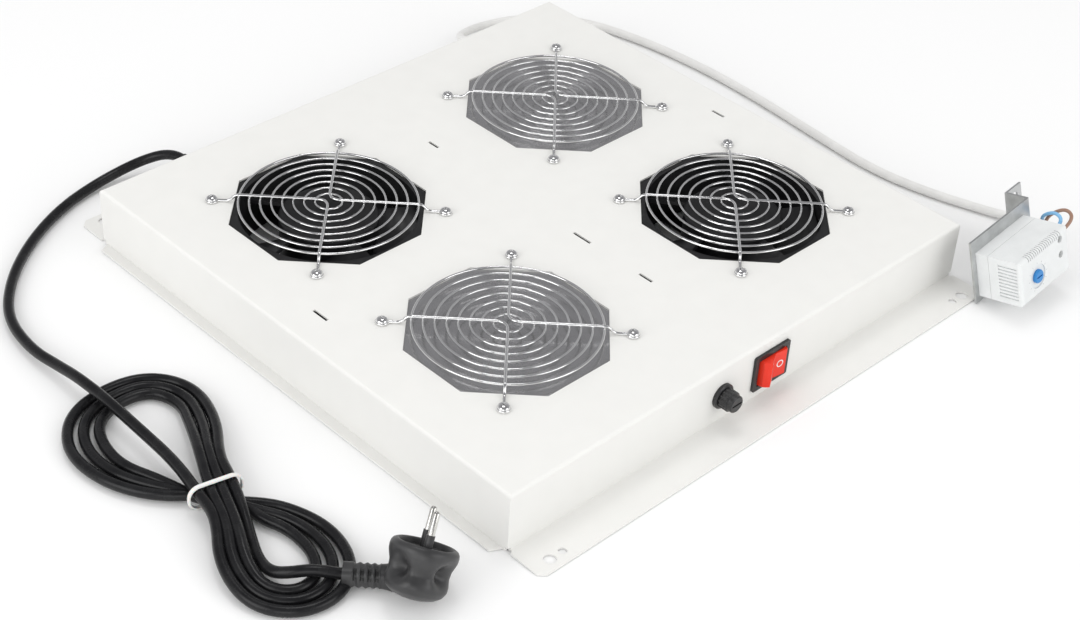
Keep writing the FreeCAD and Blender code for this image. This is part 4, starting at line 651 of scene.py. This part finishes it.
# The finger grips and the bridge between them: how deep, at what bearing (in degrees) and depth
# under the face, and how far they spread both ways.
GRIP_DEPTH, GRIP_BEARING, GRIP_SPREAD, GRIP_LEVEL, GRIP_HEIGHT = 7.4, 50, 21, 13.5, 6.0
BRIDGE_DEPTH, BRIDGE_SPREAD, BRIDGE_LEVEL, BRIDGE_HEIGHT = 1.6, 20, 15, 4.5
SHELL_SIDES, RELIEF_SIDES, RELIEF_STEPS, PIN_SIDES = 72, 48, 100, 24
# The relief: radius of its collar, its rippled part, and the flare into the shell.
RELIEF_LENGTH = 27.0
RELIEF_COLLAR, RELIEF_NECK, RELIEF_RIPPLE, RELIEF_PITCH = 6.1, 5.75, 0.35, 3.9
RIPPLES_FROM, RIPPLES_TO = 5.0, 20.5
FLARE_RADIUS, FLARE_RATE, FLARE_POWER = 5.9, 0.06, 1.6
SQUARENESS, FLATNESS = 3.2, 0.98
# Slots across the relief: how many, where the first is, and half its width; the radius at their
# bottom, half their span and the bearing of its middle, in degrees.
SLOTS, SLOT_FROM, SLOT_HALF = 4, 6.9, 0.85
SLOT_RADIUS, SLOT_SPAN, SLOT_FACING = 3.7, 33, 135
PIN_HALF_PITCH, PIN_FOOT, SLEEVE_LENGTH, SLEEVE_RADIUS = 9.5, -3.4, 9.4, 2.4
PIN_PROFILE = [(9.0, 1.9), (21.0, 1.9), (21.8, 1.6), (22.3, 0.9)]


def plug_frame():
    """Plug's own axes: X along the lead and Z out of the face, leaning on and back."""
    across = UP.cross(PLUG_HEADING)
    level = Matrix((PLUG_HEADING, across, UP)).transposed()
    return (level @ Matrix.Rotation(math.radians(PLUG_LEAN), 3, "Y")
            @ Matrix.Rotation(math.radians(-PLUG_TILT), 3, "X"))


def bell(away, spread):
    return math.exp(-(away / spread) ** 2)


def plug_shell_radius(depth, bearing):
    """Radius of the plug's shell, by depth under its face and bearing from the grip's middle."""
    radius = PLUG_PROFILE[-1][1]
    for (z0, r0), (z1, r1) in zip(PLUG_PROFILE, PLUG_PROFILE[1:]):
        if z0 <= depth <= z1:
            radius = r0 + (r1 - r0) * (depth - z0) / (z1 - z0)
            break
    away = abs(math.degrees(bearing))
    if away > 90:
        away = 180 - away
    hollow = (GRIP_DEPTH * bell(away - GRIP_BEARING, GRIP_SPREAD)
              * bell(depth - GRIP_LEVEL, GRIP_HEIGHT))
    bridge = BRIDGE_DEPTH * bell(away, BRIDGE_SPREAD) * bell(depth - BRIDGE_LEVEL, BRIDGE_HEIGHT)
    return radius - hollow - bridge


def plug_shell(turn):
    """The moulded shell with its finger grips; returns it and the middle of its face."""
    rings = []
    for depth in SHELL_DEPTHS:
        ring = []
        for k in range(SHELL_SIDES):
            angle = 2 * math.pi * k / SHELL_SIDES
            bearing = (angle + 1.5 * math.pi) % (2 * math.pi) - math.pi
            radius = plug_shell_radius(depth, bearing)
            ring.append(turn @ Vector((radius * math.cos(angle), radius * math.sin(angle), -depth)))
        rings.append(ring)
    for radius, depth in FACE_DISH:
        rings.insert(0, [turn @ point
                         for point in circle(UP * -depth, X_AXIS, Y_AXIS, radius, SHELL_SIDES)])
    lowest = min(point.z for ring in rings for point in ring)
    middle = turn @ (UP * (-PLUG_PROFILE[-1][0] / 2))
    face = Vector((PLUG_MIDDLE.x - middle.x, PLUG_MIDDLE.y - middle.y, PLUG_CLEARANCE - lowest))
    bm = bmesh.new()
    skin(bm, [[bm.verts.new((face + point) * MM) for point in ring] for ring in rings])
    turn_outward(bm)
    shell = add_mesh("plug_shell", bm, PLUG_RUBBER, smooth=50)
    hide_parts("plug_body")
    return shell, face


def relief_size(along):
    """Half the relief's width, by the distance from its tip."""
    if along >= RIPPLES_TO:
        return FLARE_RADIUS + FLARE_RATE * (along - RIPPLES_TO) ** FLARE_POWER
    if along > RIPPLES_FROM:
        wave = math.cos((along - RIPPLES_FROM) / RELIEF_PITCH * 2 * math.pi)
        return RELIEF_NECK + RELIEF_RIPPLE * wave
    return RELIEF_COLLAR


def plug_relief():
    """The slotted, rather square strain relief on the lead."""
    across = UP.cross(PLUG_HEADING)
    slots = [SLOT_FROM + RELIEF_PITCH * k for k in range(SLOTS)]
    bm = bmesh.new()
    rings = []
    for step in range(RELIEF_STEPS + 1):
        along = RELIEF_LENGTH * step / RELIEF_STEPS
        size = relief_size(along)
        cut = any(abs(along - slot) < SLOT_HALF for slot in slots)
        ring = []
        for k in range(RELIEF_SIDES):
            angle = 2 * math.pi * k / RELIEF_SIDES
            radius = size / (abs(math.cos(angle)) ** SQUARENESS
                             + abs(math.sin(angle)) ** SQUARENESS) ** (1 / SQUARENESS)
            facing = abs((math.degrees(angle) - SLOT_FACING + 180) % 360 - 180)
            if cut and facing < SLOT_SPAN:
                radius = SLOT_RADIUS
            ring.append(RELIEF_TIP + PLUG_HEADING * along + across * (radius * math.cos(angle))
                        + UP * (radius * math.sin(angle) * FLATNESS))
        rings.append(new_ring(bm, ring, MM))
    skin(bm, rings)
    turn_outward(bm)
    relief = add_mesh("plug_relief", bm, PLUG_RUBBER, smooth=35)
    return relief


def plug_pins(turn, face):
    """Two round pins, their lower parts sleeved."""
    out = turn @ UP
    sleeves, tips = bmesh.new(), bmesh.new()
    for y in (-PIN_HALF_PITCH, PIN_HALF_PITCH):
        foot = face + turn @ Vector((0, y, PIN_FOOT))
        sweep(sleeves, [(foot + out * reach) * MM for reach in (0.0, SLEEVE_LENGTH)],
              SLEEVE_RADIUS * MM, PIN_SIDES)
        skin(tips, [new_ring(tips, circle(foot + out * reach, turn @ X_AXIS, turn @ Y_AXIS, radius,
                                          PIN_SIDES), MM) for reach, radius in PIN_PROFILE])
    sleeve = add_mesh("plug_pin_sleeves", sleeves, PLUG_RUBBER, smooth=50)
    pins = add_mesh("plug_pin_tips", tips, NICKEL, smooth=40)
    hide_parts("plug_pins")
    return [sleeve, pins]


def plug():
    turn = plug_frame()
    shell, face = plug_shell(turn)
    return [shell, plug_relief()] + plug_pins(turn, face)


# ---------------------------------------------------------------------------------------------
# cord tie
# ---------------------------------------------------------------------------------------------

TIE_HALF, TIE_LOW, TIE_HIGH, TIE_CORNER = 15.6, 1.8, 16.6, 6.4
TIE_CORNER_STEPS = 8
TIE_SLANT = math.radians(-12)
TIE_DROP = 0.4
# The strap's section, as pairs of places across it and out from the hank.
TIE_SECTION = ((-1.3, -0.1), (-1.1, 0.9), (-0.5, 1.25), (0.5, 1.25), (1.1, 0.9), (1.3, -0.1))


def tie():
    """White strap round the hank's waist."""
    side = TIE_HALF - TIE_CORNER
    top, bottom = TIE_HIGH - TIE_CORNER, TIE_LOW + TIE_CORNER
    outline = []
    for cx, cz, start in ((side, top, 0), (-side, top, 90), (-side, bottom, 180),
                          (side, bottom, 270)):
        for k in range(TIE_CORNER_STEPS + 1):
            turn = math.radians(start + 90 * k / TIE_CORNER_STEPS)
            outline.append((cx + TIE_CORNER * math.cos(turn), cz + TIE_CORNER * math.sin(turn)))
    slant = Matrix.Rotation(TIE_SLANT, 3, "Z")
    waist = Vector((*WAIST, -TIE_DROP))
    bm = bmesh.new()
    rings = []
    for index, (x, z) in enumerate(outline):
        before, after = outline[index - 1], outline[(index + 1) % len(outline)]
        way = Vector((after[0] - before[0], 0, after[1] - before[1])).normalized()
        outward = Vector((way.z, 0, -way.x))
        ring = [waist + slant @ (Vector((x, across, z)) + outward * out)
                for across, out in TIE_SECTION]
        rings.append(new_ring(bm, ring, MM))
    skin(bm, rings, closed=True)
    turn_outward(bm)
    strap = add_mesh("tie_strap", bm, TIE, smooth=50)
    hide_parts("cord_tie")
    return strap


# ---------------------------------------------------------------------------------------------
# thermostat's cable and wires
# ---------------------------------------------------------------------------------------------

STAT_RADIUS, WIRE_RADIUS = 3.0, 1.2
STAT_ROUTE = [(140.0, 205.0, 16.0), (140.0, 220.0, 16.0), (152.0, 238.0, 8.0), (183.0, 244.0, 3.3),
              (219.0, 231.0, 3.2), (248.0, 200.0, 3.2), (262.0, 150.0, 3.2), (268.0, 94.0, 3.2),
              (267.0, 36.0, 3.2), (261.5, -24.0, 3.2), (257.0, -80.0, 3.2), (264.0, -122.0, 3.2),
              (276.0, -160.0, 3.2), (285.0, -184.0, 4.0), (283.0, -203.0, 8.0),
              (275.0, -212.0, 15.0), (266.5, -214.0, 24.0)]
BROWN_LOOP = [(260.5, -220.0, 38.0), (262.5, -228.5, 45.5), (261.5, -235.5, 43.5)]
BLUE_LOOP = [(258.0, -216.5, 36.5), (257.5, -224.0, 42.5), (256.5, -230.5, 41.5)]
# Straight lengths at both ends of a wire, and how far it goes into the case.
WIRE_STRAIGHT, ENTRY_STRAIGHT, ENTRY_DEPTH = 7.0, 11.5, 2.0
# Where the wires enter: the case's side and a height on it, as the upright thermostat has them.
CASE_SIDE, ENTRY_HEIGHT = 54.0, 22.0
# Piece, its node, material and slot, shift from the cable's axis, bow, and its entry's depth.
WIRES = (("brown_conductor", "thermostat_wire_brown", BROWN, "brown_wire", 1.25, BROWN_LOOP, -24.0),
         ("blue_conductor", "thermostat_wire_blue", LIGHT_BLUE, "blue_wire", -1.25, BLUE_LOOP,
          -18.5))


def thermostat_leads():
    """The thermostat's cable, and its two wires from the cable's end into the case."""
    cable = spline_object("thermostat_lead", [at(*p) for p in STAT_ROUTE], STAT_RADIUS * MM,
                          CORD_WHITE)
    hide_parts("thermostat_cable")
    end = Vector(STAT_ROUTE[-1])
    heading = (end - Vector(STAT_ROUTE[-2])).normalized()
    side = Vector((-heading.y, heading.x, 0)).normalized()
    out = STAT_TURN @ X_AXIS
    wires = []
    for name, node, material, slot, shift, loop, depth in WIRES:
        start = end + side * shift
        entry = on_thermostat(CASE_SIDE, depth, ENTRY_HEIGHT)
        route = [start, start + heading * WIRE_STRAIGHT] + [Vector(p) for p in loop] + [
            entry + out * ENTRY_STRAIGHT, entry - out * ENTRY_DEPTH]
        wire = spline_object(name, [p * MM for p in route], WIRE_RADIUS * MM, material)
        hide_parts(node)
        wires.append(wire)
    return cable, wires


def cords():
    """The mains lead with its plug and tie, and the thermostat's cable and wires."""
    cord = spline_object("mains_lead", [at(*p) for p in mains_points()], MAINS_RADIUS * MM,
                         CORD_BLACK)
    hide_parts("mains_cord", "mains_cord_hank")
    on_plug = plug()
    strap = tie()
    cable, wires = thermostat_leads()


bpy.context.scene.view_settings.view_transform = "Standard"
make_camera()
add_floor()
add_light()
dress_nodes()
for fan_place in CENTRES:
    guard(fan_place)
guard_screw_heads()
rocker_mark()
dial_ticks()
cords()
